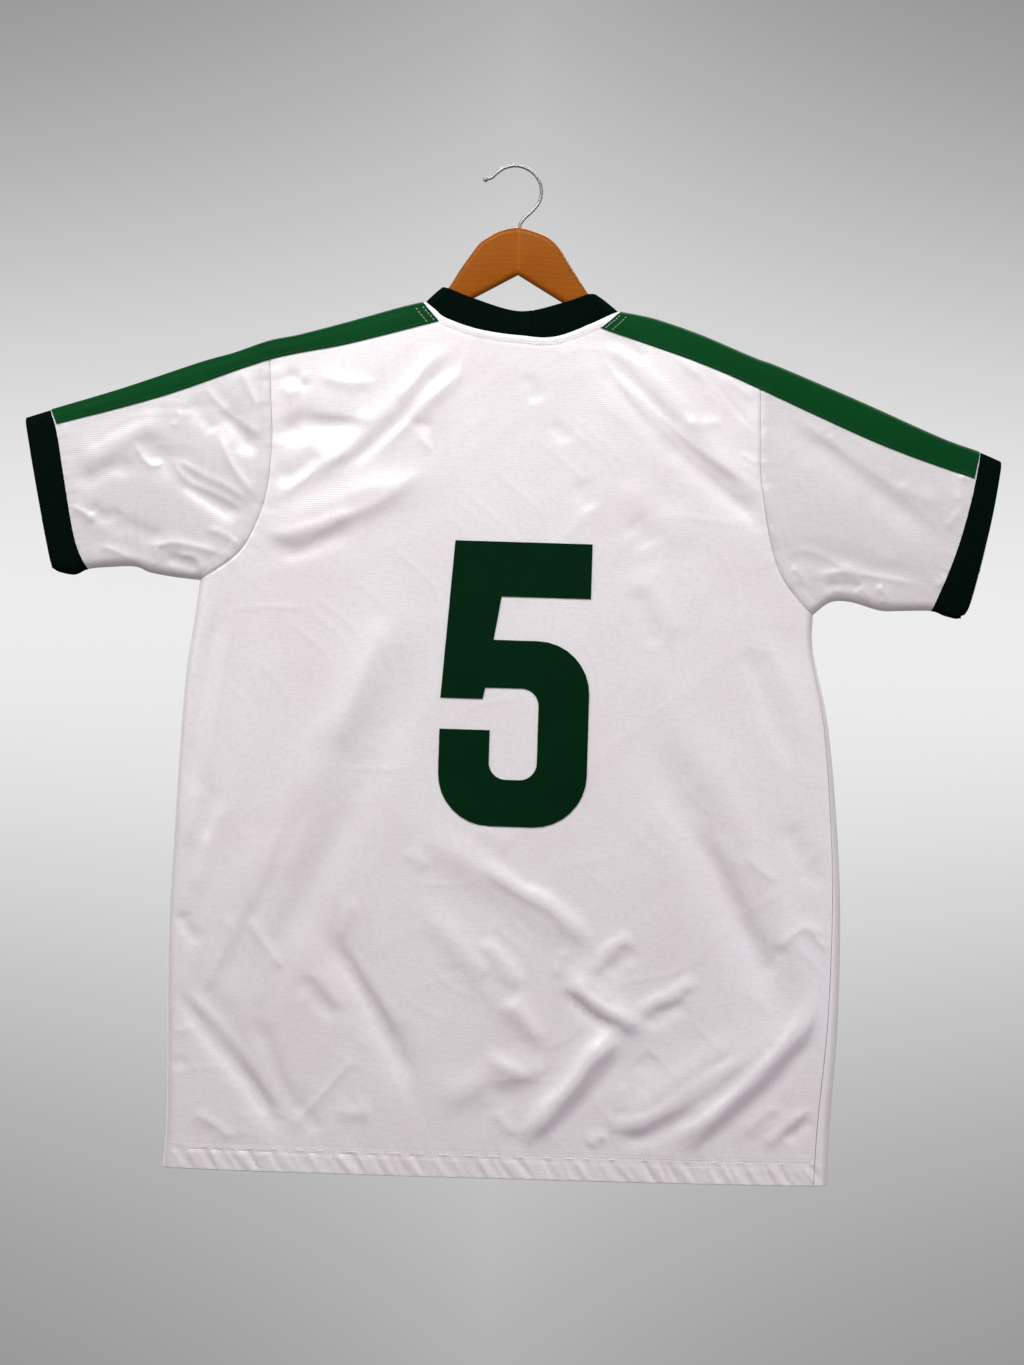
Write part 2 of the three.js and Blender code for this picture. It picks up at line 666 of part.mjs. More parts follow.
// The height of a line at an x that it passes once
function heightAt(line, x) {
  const i = line.findIndex((point, k) => k > 0 && (point[0] - x) * (line[k - 1][0] - x) <= 0);
  const [before, after] = [line[i - 1], line[i]];
  return mix(before[1], after[1], (x - before[0]) / (after[0] - before[0]));
}

// The top of an arm, just under the cloth of the shoulder
function seatedArm(lines, from, to) {
  const steps = 6;
  return Array.from({ length: steps + 1 }, (_, i) => {
    const x = mix(from, to, i / steps);
    return [x, heightAt(lines.ridge, x) - WOOD_SEAT];
  });
}

function woodGeometry() {
  const leftTop = seatedArm(left, ARM_REACH.left + TIP_LENGTH, ARM_START.left);
  const rightTop = seatedArm(right, ARM_START.right, ARM_REACH.right - TIP_LENGTH);
  const leftTip = leftTop[0];
  const rightTip = rightTop[rightTop.length - 1];
  const roundTip = (reach, tipTop, inward) => TIP_ROUND.map(([inset, drop]) => (
    [reach + inward * inset * TIP_LENGTH, tipTop - drop * ARM_HEIGHT]));
  const outline = [
    ...roundTip(ARM_REACH.left, leftTip[1], 1).reverse(),
    ...leftTop, ...WOOD_LEFT_NECK, ...WOOD_CROWN, ...WOOD_RIGHT_NECK, ...rightTop,
    ...roundTip(ARM_REACH.right, rightTip[1], -1),
    ...WOOD_UNDER_RIGHT.toReversed(), WOOD_CROTCH, ...WOOD_UNDER_LEFT.toReversed(),
  ];
  const shape = new THREE.Shape(outline.map(([x, z]) => new THREE.Vector2(x, z)));
  const geometry = new THREE.ExtrudeGeometry(shape, {
    depth: WOOD_THICKNESS - 2 * WOOD_ROUNDING,
    bevelThickness: WOOD_ROUNDING,
    bevelSize: WOOD_ROUNDING,
    bevelOffset: -WOOD_ROUNDING,
    bevelSegments: 2,
  });
  geometry.translate(0, 0, WOOD_ROUNDING - WOOD_THICKNESS / 2);
  geometry.rotateX(Math.PI / 2);
  return geometry;
}

const HOOK_LINE = [
  [-25.4, -11.4], [-20, -9.4], [-14.9, -4.6], [-8.4, -0.4], [0.7, 1.5], [9.6, -0.3],
  [17.2, -5.4], [22.2, -12.8], [24, -21.3], [22.4, -29.6], [17, -37.2], [10.2, -44],
  [6.6, -49], [5.6, -53], [5.6, -58], [5.6, -75],
];

function hookGeometry() {
  const path = new THREE.CatmullRomCurve3(HOOK_LINE.map(([x, z]) => new THREE.Vector3(x, 0, z)));
  const section = new THREE.Shape();
  section.absarc(0, 0, WIRE_RADIUS, 0, 2 * Math.PI, false);
  const wire = new THREE.ExtrudeGeometry(section, { extrudePath: path, steps: 44, curveSegments: 4 });
  const tip = new THREE.SphereGeometry(WIRE_TIP_RADIUS, 12, 8);
  tip.translate(HOOK_LINE[0][0], 0, HOOK_LINE[0][1]);
  return fromSolid(solidOf(wire).add(solidOf(tip)));
}

// Joining and cutting

function solidOf(geometry) {
  const bare = geometry.clone();
  bare.deleteAttribute('normal');
  bare.deleteAttribute('uv');
  const merged = mergeVertices(bare, 1e-4);
  return new wasm.Manifold(new wasm.Mesh({
    numProp: 3,
    vertProperties: new Float32Array(merged.attributes.position.array),
    triVerts: new Uint32Array(merged.index.array),
  }));
}

function fromSolid(solid) {
  const mesh = solid.getMesh();
  const geometry = new THREE.BufferGeometry();
  geometry.setAttribute('position', new THREE.Float32BufferAttribute(mesh.vertProperties, 3));
  geometry.setIndex(Array.from(mesh.triVerts));
  return geometry;
}

function boredWood() {
  const shaftX = HOOK_LINE[HOOK_LINE.length - 1][0];
  const bore = new THREE.CylinderGeometry(BORE_RADIUS, BORE_RADIUS, 2 * BORE_DEPTH, 16);
  bore.rotateX(Math.PI / 2);
  bore.translate(shaftX, 0, WOOD_CROWN_TOP[1]);
  return fromSolid(solidOf(woodGeometry()).subtract(solidOf(bore)));
}

// Materials and parts

const material = (color, roughness, metalness = 0) => (
  new THREE.MeshStandardMaterial({ color, roughness, metalness }));
const whiteCloth = material(0xeceaef, 0.5);
const bandCloth = material(0x054f24, 0.5);
const rib = material(0x04180f, 0.85);
const wood = material(0xb8712c, 0.35);
const steel = material(0xb9bcc0, 0.25, 1);

const jersey = new THREE.Group();
function part(name, geometry, look) {
  geometry.computeVertexNormals();
  const mesh = new THREE.Mesh(geometry, look);
  mesh.name = name;
  jersey.add(mesh);
}

const backPoints = panelPoints(-1, BACK_COLUMNS, BACK_BODY_ROWS, neck.back);
const frontPoints = panelPoints(1, FRONT_COLUMNS, FRONT_BODY_ROWS, neck.front);
part('back_panel', clothWall(backPoints, CLOTH, false), whiteCloth);
part('front_panel', clothWall(frontPoints, CLOTH, false), whiteCloth);
part('sleeve_left', clothWall(sleevePoints(left, -1), CLOTH, true), whiteCloth);
part('sleeve_right', clothWall(sleevePoints(right, 1), CLOTH, true), whiteCloth);
part('cuff_left', clothWall(cuffPoints(left, -1), RIB, true), rib);
part('cuff_right', clothWall(cuffPoints(right, 1), RIB, true), rib);
part('neckband', collarGeometry(), rib);
part('shoulder_band_left', bandGeometry(left), bandCloth);
part('shoulder_band_right', bandGeometry(right), bandCloth);
part('hanger_wood', boredWood(), wood);
part('hanger_hook', hookGeometry(), steel);

export default jersey;
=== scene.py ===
"""Football jersey hung on a wooden hanger with a wire hook: an add-on with one operator for each piece."""
import math
from typing import NamedTuple

import bpy
import numpy as np
from bpy.props import FloatProperty, FloatVectorProperty, PointerProperty
from mathutils import Matrix, Vector
from mathutils.geometry import delaunay_2d_cdt


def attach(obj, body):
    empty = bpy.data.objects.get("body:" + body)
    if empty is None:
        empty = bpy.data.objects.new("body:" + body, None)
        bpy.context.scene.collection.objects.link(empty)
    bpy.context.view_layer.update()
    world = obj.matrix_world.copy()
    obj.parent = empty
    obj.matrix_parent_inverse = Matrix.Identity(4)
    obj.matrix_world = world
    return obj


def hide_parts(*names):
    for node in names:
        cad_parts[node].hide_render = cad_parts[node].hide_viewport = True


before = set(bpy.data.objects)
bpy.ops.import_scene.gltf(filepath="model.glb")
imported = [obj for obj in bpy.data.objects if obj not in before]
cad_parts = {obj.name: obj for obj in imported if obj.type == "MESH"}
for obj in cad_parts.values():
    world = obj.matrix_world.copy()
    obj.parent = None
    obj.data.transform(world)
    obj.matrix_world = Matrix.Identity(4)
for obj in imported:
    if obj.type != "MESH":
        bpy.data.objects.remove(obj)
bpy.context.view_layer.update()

bl_info = {
    "name": "Hung Football Jersey",
    "version": (1, 0, 0),
    "blender": (4, 5, 0),
    "location": "View3D > Sidebar > Jersey",
    "description": "Builds a football jersey on its hanger, piece by piece, around its measured frame",
    "category": "Add Mesh",
}

MM = 0.001

# Form of the cloth, in millimetres, as in the solids: -Y is the shirt's back, the origin is inside the hook

SEAM_GAP = 0.3
BAND_WIDTH = 50
EDGE_RADIUS = 9
EDGE_DEPTH = 8
BELLY_DEPTH = 9
BELLY_REACH = 70
FOLD_FADE = 22
CREASE_FADE = 5
# Thin pinched lines: the ways across which they repeat, how often, how narrow and how high
PINCH_RUNS = [(0.82, 0.57), (0.5, -0.86), (0.98, -0.2)]
PINCH_PITCH = 17
PINCH_SHARE = 0.16
PINCH_HEIGHT = 0.5
# How round the crest of a pinched crease is
CREST_RADIUS = 0.6
COLLAR_TOP_DEPTH = 9.5
COLLAR_TOP_RADIUS = 8
BACK = -1
FRONT = 1

# Outlines in the plane Y = 0, each point as x, z

LEFT_OUTLINE = {
    "shoulder": [(-74.7, -121), (-97.4, -126.9), (-141, -140.6), (-184.6, -153.4), (-210.8, -159.5)],
    "sleeve_top": [(-210.8, -159.5), (-241.3, -171), (-271.8, -180.7), (-339.7, -205.7), (-401.6, -226.2)],
    "cuff_top": [(-401.6, -226.2), (-423.4, -233.7)],
    "side": [
        (-266, -371.6), (-270.2, -406.9), (-277.1, -468.7), (-282.1, -592.2),
        (-284.4, -689.1), (-281, -829.8), (-282.8, -888),
    ],
    "underarm": [
        (-266, -371.6), (-288, -369.6), (-310.1, -366.2),
        (-323.5, -361.5), (-345.5, -362.5), (-364.8, -364.9),
    ],
    "cuff_low": [(-364.8, -364.9), (-376.1, -370), (-389.3, -368.3), (-395.6, -365)],
    "armhole": [
        (-210.8, -159.5), (-207.5, -211.3), (-205.5, -246.5), (-208.6, -290.6),
        (-219.8, -326.1), (-235.8, -350.4), (-266, -371.6),
    ],
    "cuff_seam": [(-401.6, -226.2), (-395, -245), (-387.5, -282.8), (-376.1, -339.7), (-364.8, -364.9)],
    "cuff_edge": [(-423.4, -233.7), (-414.1, -279.2), (-404.8, -323), (-395.6, -365)],
    "band_edge": [(-62.5, -138.6), (-140.4, -160.8), (-210.3, -177.2), (-304.3, -212.4), (-394.6, -239)],
}

RIGHT_OUTLINE = {
    "shoulder": [
        (94.5, -124.6), (113.9, -127.5), (131.7, -131.4),
        (167.2, -142.6), (202.9, -156.7), (220.7, -163.4),
    ],
    "sleeve_top": [(220.7, -163.4), (238.5, -169.3), (309.8, -197.3), (381.1, -226.8), (416.6, -238.6)],
    "cuff_top": [(416.6, -238.6), (435.4, -246.2)],
    "side": [
        (274.2, -385.9), (275.1, -416.7), (289.3, -477.9), (298.5, -548), (305.6, -635.8),
        (307, -741.4), (302.7, -829.6), (301.8, -887),
    ],
    "underarm": [
        (274.2, -385.9), (288.8, -374.4), (306.3, -373.4),
        (333, -380.2), (350.6, -380), (377.8, -379.2),
    ],
    "cuff_low": [(377.8, -379.2), (390.3, -383.2), (401.8, -385.3), (404.3, -381.9)],
    "armhole": [
        (220.7, -163.4), (222, -233.4), (223.9, -268.6), (232.4, -316.7),
        (244.1, -351.6), (262.4, -375.7), (274.2, -385.9),
    ],
    "cuff_seam": [(416.6, -238.6), (409.2, -280.5), (396.6, -329.3), (377.8, -379.2)],
    "cuff_edge": [(435.4, -246.2), (427.3, -297.6), (411.7, -364.1), (404.3, -381.9)],
    "band_edge": [(79.5, -140.5), (168, -169), (221.5, -190.3), (328.5, -235.4), (410.8, -262.5)],
}

NECK_OUTLINE = {
    "back": [
        (-74.7, -121), (-66.5, -127.8), (-55.7, -135.8), (-26.4, -145),
        (9, -149.2), (44.2, -148.2), (94.5, -124.6),
    ],
    "front": [
        (-74.7, -121), (-69, -148), (-50, -186), (-18, -209), (12, -216),
        (44, -210), (74, -188), (91, -152), (94.5, -124.6),
    ],
    "back_top": [
        (-60.1, -107.3), (-54, -109.4), (-32.5, -117.2), (8.3, -127.2),
        (45.9, -118.6), (67.6, -110.6), (74.7, -110.2),
    ],
    "front_top": [
        (-60.1, -107.3), (-54, -136), (-38, -170), (-12, -189), (12, -194),
        (38, -190), (62, -171), (75, -140), (74.7, -110.2),
    ],
}

# Share of a panel's width where its neck line starts and ends
NECK_COLUMNS = (0.315, 0.708)
# On the right the front panel wraps round the side by this width, below the armpit and at the hem
WRAP_TOP = 2
WRAP_HEM = 13
WRAP_GAP = 0.5
ARMHOLE_STRIP = 0.6
FRONT_HEM_DROP = 4
HEM_LEFT_Z = -888
HEM_RIGHT_Z = -887

# Lengths along the cloth that its rows and columns divide, in millimetres
LEFT_SHOULDER_LENGTH = 165
RIGHT_SHOULDER_LENGTH = 160
NECK_LENGTH = 200
ARMHOLE_LENGTH = 212
BODY_LENGTH = 515
SLEEVE_LENGTH = 190
SLEEVE_WIDTH = 190
CUFF_WIDTH = 145
CUFF_HEIGHT = 26
CUFF_ROUND = 290
NECKBAND_WIDTH = 170
NECKBAND_HEIGHT = 24
NECKBAND_ROUND = 430

# Heights above the hem of its row of stitches, of the groove beside them and of its turned-in edge
HEM_STITCHES = 21.5
HEM_CREASE = 17.8
HEM_FOLD = 22.5
# The hem's band stands out, and slanting ripples run up it
HEM_RISE = 0.55
HEM_RIPPLE = 1.9
HEM_RIPPLE_PITCH = 3.4
HEM_RIPPLE_SLANT = 0.6
HEM_RIPPLE_MIDDLE = 9
HEM_RIPPLE_REACH = 8.5
ABOVE_HEM_RIPPLE = 0.35
ABOVE_HEM_REACH = 9
HEM_EDGE_RADIUS = 1.0
# The turn of a rounded edge, row by row
ROLL = np.radians([0, 25, 48, 68, 82])


class Groove(NamedTuple):
    """A groove along a seam or an edge: how far from it the groove runs, how deep and how wide it is."""
    distance: float
    depth: float
    width: float


ARMHOLE_GROOVE = Groove(0, 0.9, 1.5)
NECK_GROOVE = Groove(0, 0.7, 1.3)
NECK_STITCH_GROOVE = Groove(6.5, 0.35, 0.9)
HEM_GROOVES = [Groove(HEM_STITCHES, 0.8, 0.9), Groove(HEM_CREASE, 0.8, 0.7)]
CUFF_GROOVE_DEPTH = 0.5


class Pucker(NamedTuple):
    """Small uneven waves along a seam: their height, their pitch, their reach and where they start."""
    height: float
    pitch: float
    reach: float
    seed: float


ARMHOLE_PUCKER = Pucker(0.5, 3.4, 9, 0.7)
CUFF_PUCKER = Pucker(0.35, 1.9, 6, 2.7)
NECK_PUCKER = Pucker(0.25, 2.2, 7, 1.9)
# The seam allowance inside the sleeve beside the armhole: its middle, its half width and its height
ALLOWANCE_MIDDLE = 5
ALLOWANCE_HALF = 4.2
ALLOWANCE_HEIGHT = 0.55


# A fold keeps its height over the middle half of its length and fades beyond it
FOLD_CORE = 0.25
FOLD_END = 0.2
FOLD_OVERRUN = 0.3


class Fold(NamedTuple):
    """A large fold of the solids: its ends, its half width and its height, with minus for a trough."""
    start: tuple
    end: tuple
    width: float
    height: float


BACK_FOLDS = [
    Fold((-94, -394), (-223, -687), 24, 4.5),
    Fold((-66, -430), (-196, -720), 18, -3.5),
    Fold((-235, -379), (-262, -618), 15, -4),
    Fold((-262, -716), (-174, -860), 14, -4),
    Fold((-147, -663), (-61, -823), 16, -3.5),
    Fold((126, -480), (260, -746), 20, -4.5),
    Fold((160, -470), (290, -730), 18, 3),
    Fold((-68, -584), (90, -683), 15, 3),
    Fold((-62, -651), (51, -768), 13, 3),
    Fold((64, -705), (136, -756), 12, 3.5),
    Fold((113, -752), (39, -850), 14, 4.5),
    Fold((232, -752), (111, -839), 13, 3),
    Fold((279, -732), (167, -857), 15, 4.5),
    Fold((46, -783), (-44, -821), 14, 3),
    Fold((71, -153), (229, -312), 13, -4),
    Fold((100, -165), (235, -300), 11, 3),
    Fold((-52, -182), (-164, -270), 14, 3),
    Fold((-205, -240), (-122, -232), 12, -3),
    Fold((-212, -326), (-79, -276), 15, 3.5),
    Fold((-325, -250), (-224, -313), 13, -3.5),
    Fold((-267, -200), (-215, -262), 12, -3),
    Fold((-368, -340), (-300, -352), 10, -2.5),
    Fold((226, -198), (397, -322), 17, -4),
    Fold((248, -330), (372, -356), 12, -3),
]

FRONT_FOLDS = [
    Fold((-180, -330), (-90, -560), 30, 4),
    Fold((180, -340), (60, -600), 28, -4),
    Fold((-240, -560), (-60, -800), 26, -4),
    Fold((30, -640), (240, -800), 26, 4),
    Fold((-150, -190), (-60, -300), 22, 3),
    Fold((170, -200), (90, -310), 22, 3),
    Fold((-340, -240), (-230, -320), 18, -3.5),
    Fold((360, -260), (250, -330), 18, -3.5),
]


# Steps between two points of a crease, its reach in half widths, its fading ends and its uneven width
CREASE_STEPS = 5
CREASE_REACH = 5
CREASE_END = 0.24
CREASE_UNEVEN = 0.22


class Crease(NamedTuple):
    """A ridge, or a trough with a minus height; form is about 1 if pinched, 2 if soft, 3 if flat-topped."""
    path: list
    width: float
    height: float
    form: float = 2


BACK_CREASES = [
    # Neck and the sides of the body
    Crease([(-88, -228), (-63, -232)], 4, -1.1),
    Crease([(-126, -306), (-166, -321), (-196, -330), (-210, -322)], 6, 1.6, 1.6),
    Crease([(15, -183), (28, -208)], 6, -0.9),
    Crease([(36, -225), (56, -241)], 6, -0.9),
    Crease([(-242, -376), (-253, -428), (-265, -512), (-268, -577)], 6, -2.2),
    Crease([(-228, -384), (-240, -440), (-250, -510), (-254, -560)], 5, 1.4, 1.3),
    Crease([(-99, -394), (-126, -468), (-150, -520)], 10, 1.8, 1.6),
    Crease([(-84, -420), (-110, -486), (-142, -556)], 10, -1.3),
    Crease([(118, -367), (139, -421)], 9, -1.0),
    Crease([(211, -411), (242, -477), (258, -526)], 9, -1.6),
    Crease([(226, -400), (262, -470), (276, -520)], 6, 1.2, 1.5),
    # Left sleeve
    Crease([(-269, -198), (-254, -216), (-235, -231), (-218, -242), (-211, -250)], 3.6, 1.5, 1.1),
    Crease([(-234, -185), (-228, -201), (-221, -215), (-218, -224)], 3.2, 1.1, 1.1),
    Crease([(-252, -241), (-245, -262), (-233, -280), (-221, -294), (-215, -302)], 3.6, 1.6, 1.1),
    Crease([(-299, -266), (-291, -271), (-277, -286), (-258, -294), (-239, -303),
        (-225, -311)], 4.6, 2.3, 1.2),
    Crease([(-298, -266), (-282, -271), (-263, -281), (-244, -289), (-230, -298),
        (-219, -306)], 4.2, 1.8, 1.2),
    Crease([(-325, -252), (-320, -264), (-309, -273), (-298, -268)], 3.6, 1.6, 1.1),
    Crease([(-292, -223), (-287, -228), (-289, -237), (-295, -232)], 2.6, 0.9, 1.1),
    Crease([(-378, -275), (-358, -265), (-338, -253), (-317, -241), (-297, -233)], 10, 2.0),
    Crease([(-380, -293), (-360, -284), (-339, -274), (-323, -283)], 7, -1.4),
    Crease([(-381, -310), (-370, -315), (-358, -324)], 3.4, 1.4, 1.1),
    Crease([(-364, -307), (-349, -320), (-336, -311)], 5, -1.4),
    Crease([(-316, -342), (-303, -343), (-289, -340), (-270, -343), (-252, -347),
        (-240, -352)], 3.8, 1.6, 1.2),
    Crease([(-306, -344), (-303, -353), (-308, -363)], 3, 1.1, 1.1),
    Crease([(-262, -327), (-248, -330), (-236, -337), (-231, -345)], 3.6, 1.4, 1.2),
    Crease([(-356, -345), (-339, -349), (-325, -357), (-313, -364)], 3.6, 1.3, 1.2),
    Crease([(-289, -351), (-272, -351), (-265, -359), (-264, -367)], 3.2, 1.2, 1.1),
    Crease([(-286, -281), (-267, -296), (-248, -307), (-230, -317)], 7, -1.7),
    Crease([(-298, -353), (-281, -357), (-267, -364)], 5, -1.6),
    Crease([(-349, -334), (-331, -326), (-312, -333), (-294, -331)], 7, -1.3),
    Crease([(-279, -212), (-265, -230), (-255, -244)], 7, -1.3),
    Crease([(-247, -220), (-232, -243), (-220, -261)], 6, -1.4),
    # Left shoulder
    Crease([(-210, -300), (-194, -294), (-176, -281), (-160, -268), (-142, -259),
        (-121, -251)], 5.5, 1.8, 1.4),
    Crease([(-200, -249), (-191, -242), (-180, -229), (-152, -231), (-126, -232)], 8, -2.0),
    Crease([(-177, -223), (-152, -224), (-124, -227), (-113, -230)], 4, 1.4, 1.2),
    Crease([(-41, -163), (-61, -186), (-77, -202), (-92, -223), (-108, -239), (-126, -256),
        (-153, -273)], 7, -2.5),
    Crease([(-35, -175), (-54, -195), (-72, -213), (-85, -228), (-103, -246), (-121, -260)], 5.5, 1.8, 1.4),
    Crease([(-55, -162), (-73, -180), (-86, -199), (-99, -214)], 5.5, 1.4, 1.5),
    Crease([(-211, -325), (-188, -332), (-163, -326), (-138, -313), (-113, -301), (-90, -285),
        (-70, -266)], 7, 1.9, 1.6),
    Crease([(-206, -341), (-183, -345), (-156, -335), (-128, -323)], 7, -1.4),
    Crease([(-179, -184), (-181, -195), (-189, -206), (-199, -198)], 4, 1.2, 1.2),
    Crease([(-167, -189), (-139, -196), (-114, -193)], 5, 1.3, 1.4),
    Crease([(-197, -187), (-187, -193), (-173, -202)], 5, -1.5),
    Crease([(-78, -240), (-71, -247), (-64, -252)], 3, 0.9, 1.2),
    Crease([(-204, -270), (-189, -278), (-176, -269), (-163, -255)], 6, -1.5),
    # Right shoulder
    Crease([(74, -147), (83, -167), (96, -185), (117, -209), (138, -229), (161, -251),
        (184, -268), (210, -290), (227, -310)], 5, 1.7, 1.3),
    Crease([(88, -175), (111, -196), (129, -213), (153, -233), (179, -252), (199, -264),
        (222, -277)], 5, 2.1, 1.3),
    Crease([(130, -232), (156, -251), (182, -273), (210, -295), (226, -308)], 8, -2.3),
    Crease([(140, -158), (156, -171), (174, -185), (190, -202), (203, -217), (219, -234)], 3.6, 1.5, 1.2),
    Crease([(166, -175), (182, -192), (198, -209), (213, -228)], 4, -1.3),
    Crease([(187, -179), (202, -189), (218, -201)], 3, 1.0, 1.1),
    Crease([(204, -247), (214, -252), (222, -256)], 2.6, 1.0, 1.1),
    Crease([(207, -256), (222, -265)], 2.6, 0.9, 1.1),
    Crease([(152, -221), (173, -222), (190, -219)], 3.6, 1.0, 1.3),
    Crease([(82, -147), (95, -152), (110, -161), (121, -169)], 5, -1.4),
    Crease([(63, -274), (71, -289), (77, -301)], 9, -1.0),
    Crease([(110, -306), (120, -318), (128, -333)], 10, -1.1),
    Crease([(118, -348), (137, -383), (158, -415)], 12, 1.2),
    Crease([(98, -273), (119, -293), (145, -312), (171, -326)], 14, 1.0),
    # Right sleeve
    Crease([(228, -269), (234, -292), (240, -314), (248, -332)], 7, 0.8, 4),
    Crease([(241, -211), (264, -221), (289, -238), (315, -255), (341, -272), (367, -295),
        (393, -317)], 7, 1.5, 1.4),
    Crease([(238, -223), (264, -235), (290, -252), (316, -271), (342, -291), (365, -315)], 9, -1.3),
    Crease([(246, -337), (259, -330), (277, -333), (298, -343), (318, -347)], 5, 1.3, 1.3),
    Crease([(252, -344), (262, -353), (260, -362)], 3.4, 1.2, 1.2),
    Crease([(270, -355), (293, -348), (313, -349), (341, -353), (369, -357)], 3.6, 1.3, 1.2),
    Crease([(278, -362), (298, -359), (319, -362)], 4, -1.4),
    Crease([(286, -369), (304, -372), (316, -370)], 4.5, -1.5),
    Crease([(327, -358), (336, -367), (332, -377)], 4, 1.5, 1.3),
    Crease([(311, -360), (319, -367), (316, -374)], 4, 1.3, 1.3),
    Crease([(392, -272), (401, -284), (395, -297), (385, -310)], 4, 1.2, 1.3),
    Crease([(398, -260), (409, -265)], 3, 0.9, 1.2),
    Crease([(343, -266), (361, -279), (382, -285)], 7, 1.2, 1.6),
    Crease([(311, -274), (322, -297), (335, -319), (341, -339)], 9, -1.1),
    Crease([(377, -359), (386, -354), (390, -347)], 4, 1.1, 1.3),
    Crease([(282, -227), (286, -234), (284, -240)], 3, 0.8, 1.2),
    # Lower left
    Crease([(-159, -544), (-172, -571), (-192, -616), (-207, -654), (-222, -692),
        (-234, -740)], 11, -2.3),
    Crease([(-176, -559), (-191, -600), (-207, -643), (-223, -678), (-237, -726)], 7, 1.6, 1.5),
    Crease([(-260, -547), (-264, -578), (-267, -609)], 5, 1.2, 1.3),
    Crease([(-233, -561), (-244, -587), (-253, -613), (-259, -651)], 4.4, 1.4, 1.2),
    Crease([(-248, -547), (-251, -583), (-256, -602)], 5, -1.3),
    Crease([(-211, -586), (-215, -624), (-211, -659)], 4.4, 1.0, 1.3),
    Crease([(-238, -660), (-229, -679), (-242, -717), (-243, -736)], 4.4, 1.3, 1.3),
    Crease([(-275, -661), (-265, -680), (-255, -691)], 6, -1.7),
    Crease([(-214, -664), (-201, -685), (-187, -703), (-177, -710)], 4.4, 1.5, 1.2),
    Crease([(-194, -696), (-198, -725), (-205, -746)], 4, 1.0, 1.2),
    Crease([(-278, -724), (-261, -751), (-236, -781), (-209, -811), (-179, -854)], 7, -2.4),
    Crease([(-272, -725), (-244, -752), (-219, -780), (-195, -812), (-173, -844)], 6.5, 1.5, 1.5),
    Crease([(-207, -749), (-191, -783), (-179, -811), (-164, -839)], 7, -1.8),
    Crease([(-173, -856), (-161, -839), (-145, -820), (-127, -798), (-109, -779)], 2.6, 1.2, 1.1),
    Crease([(-145, -671), (-130, -699), (-111, -727), (-91, -759), (-76, -787), (-63, -815)], 8, -2.6),
    Crease([(-136, -671), (-113, -708), (-91, -740), (-71, -773)], 6.5, 1.5, 1.5),
    Crease([(-62, -742), (-61, -777), (-64, -817)], 2.8, 0.9, 1.1),
    Crease([(-167, -714), (-148, -737), (-133, -753)], 7, -1.5),
    Crease([(-158, -709), (-139, -730), (-127, -744)], 6, 1.0, 1.6),
    Crease([(-133, -829), (-117, -834), (-98, -830)], 7, 1.3, 1.6),
    Crease([(-258, -837), (-239, -847), (-217, -862)], 5, 1.3, 1.4),
    Crease([(-169, -823), (-157, -837), (-144, -853)], 6, -1.2),
    Crease([(-135, -683), (-129, -671), (-120, -645)], 3.4, 0.9, 1.2),
    Crease([(-179, -635), (-183, -658), (-191, -684)], 3, 0.8, 1.2),
    Crease([(-278, -767), (-267, -767), (-260, -760)], 4, 1.1, 1.3),
    Crease([(-278, -800), (-271, -795), (-264, -797)], 4, -1.1),
    Crease([(-77, -601), (-65, -612), (-57, -619)], 7, 1.0),
    # Middle and lower right
    Crease([(-12, -605), (5, -622), (27, -636), (49, -646), (68, -662), (88, -683)], 7, 2.4, 2.6),
    Crease([(-10, -677), (3, -690), (16, -706), (30, -721)], 7, 2.0, 2.4),
    Crease([(-9, -707), (8, -722), (24, -736)], 8, -1.6),
    Crease([(89, -709), (97, -693), (109, -680), (124, -669)], 6, 1.9, 2.4),
    Crease([(102, -708), (114, -695), (129, -684)], 6, -1.2),
    Crease([(62, -684), (63, -692), (57, -710)], 4, 1.1, 1.4),
    Crease([(66, -709), (83, -726), (101, -738), (118, -744), (133, -758)], 6, 2.7, 2.6),
    Crease([(64, -720), (81, -737), (99, -749), (112, -753)], 6, -1.6),
    Crease([(131, -746), (141, -731), (158, -724), (172, -713), (183, -706)], 6, 2.1, 2.4),
    Crease([(137, -752), (154, -739), (173, -729)], 6, -1.4),
    Crease([(27, -858), (44, -840), (58, -823), (75, -803), (89, -781), (106, -764),
        (115, -755)], 8, 3.7, 3),
    Crease([(53, -850), (69, -831), (86, -813), (104, -791), (118, -767)], 7, -2.0),
    Crease([(164, -858), (187, -840), (208, -820), (232, -798), (255, -772), (270, -754),
        (278, -733), (279, -711)], 8, 3.6, 3),
    Crease([(183, -855), (204, -839), (229, -815), (254, -793), (274, -767), (288, -741)], 7, -2.2),
    Crease([(101, -823), (114, -836), (135, -835), (156, -824), (182, -806), (207, -788),
        (223, -773), (233, -757)], 7, 2.7, 2.6),
    Crease([(115, -851), (140, -848), (165, -836), (190, -819)], 6, -1.6),
    Crease([(89, -857), (98, -849), (108, -847)], 5, 1.7, 1.6),
    Crease([(249, -683), (263, -667), (277, -660), (297, -668)], 3.6, 1.4, 1.2),
    Crease([(277, -660), (288, -673), (297, -679)], 3.2, 1.2, 1.2),
    Crease([(242, -704), (250, -687), (259, -678)], 5, -1.1),
    Crease([(244, -855), (261, -836), (279, -822), (282, -827)], 5, 2.0, 1.8),
    Crease([(225, -843), (246, -823), (261, -818)], 4.4, 1.3, 1.4),
    Crease([(262, -848), (276, -837), (287, -828)], 5, -1.4),
    Crease([(13, -728), (26, -742), (39, -759), (53, -766)], 7, 1.5, 1.8),
    Crease([(-7, -778), (10, -786), (32, -796), (49, -789), (55, -795)], 7, 1.8, 1.8),
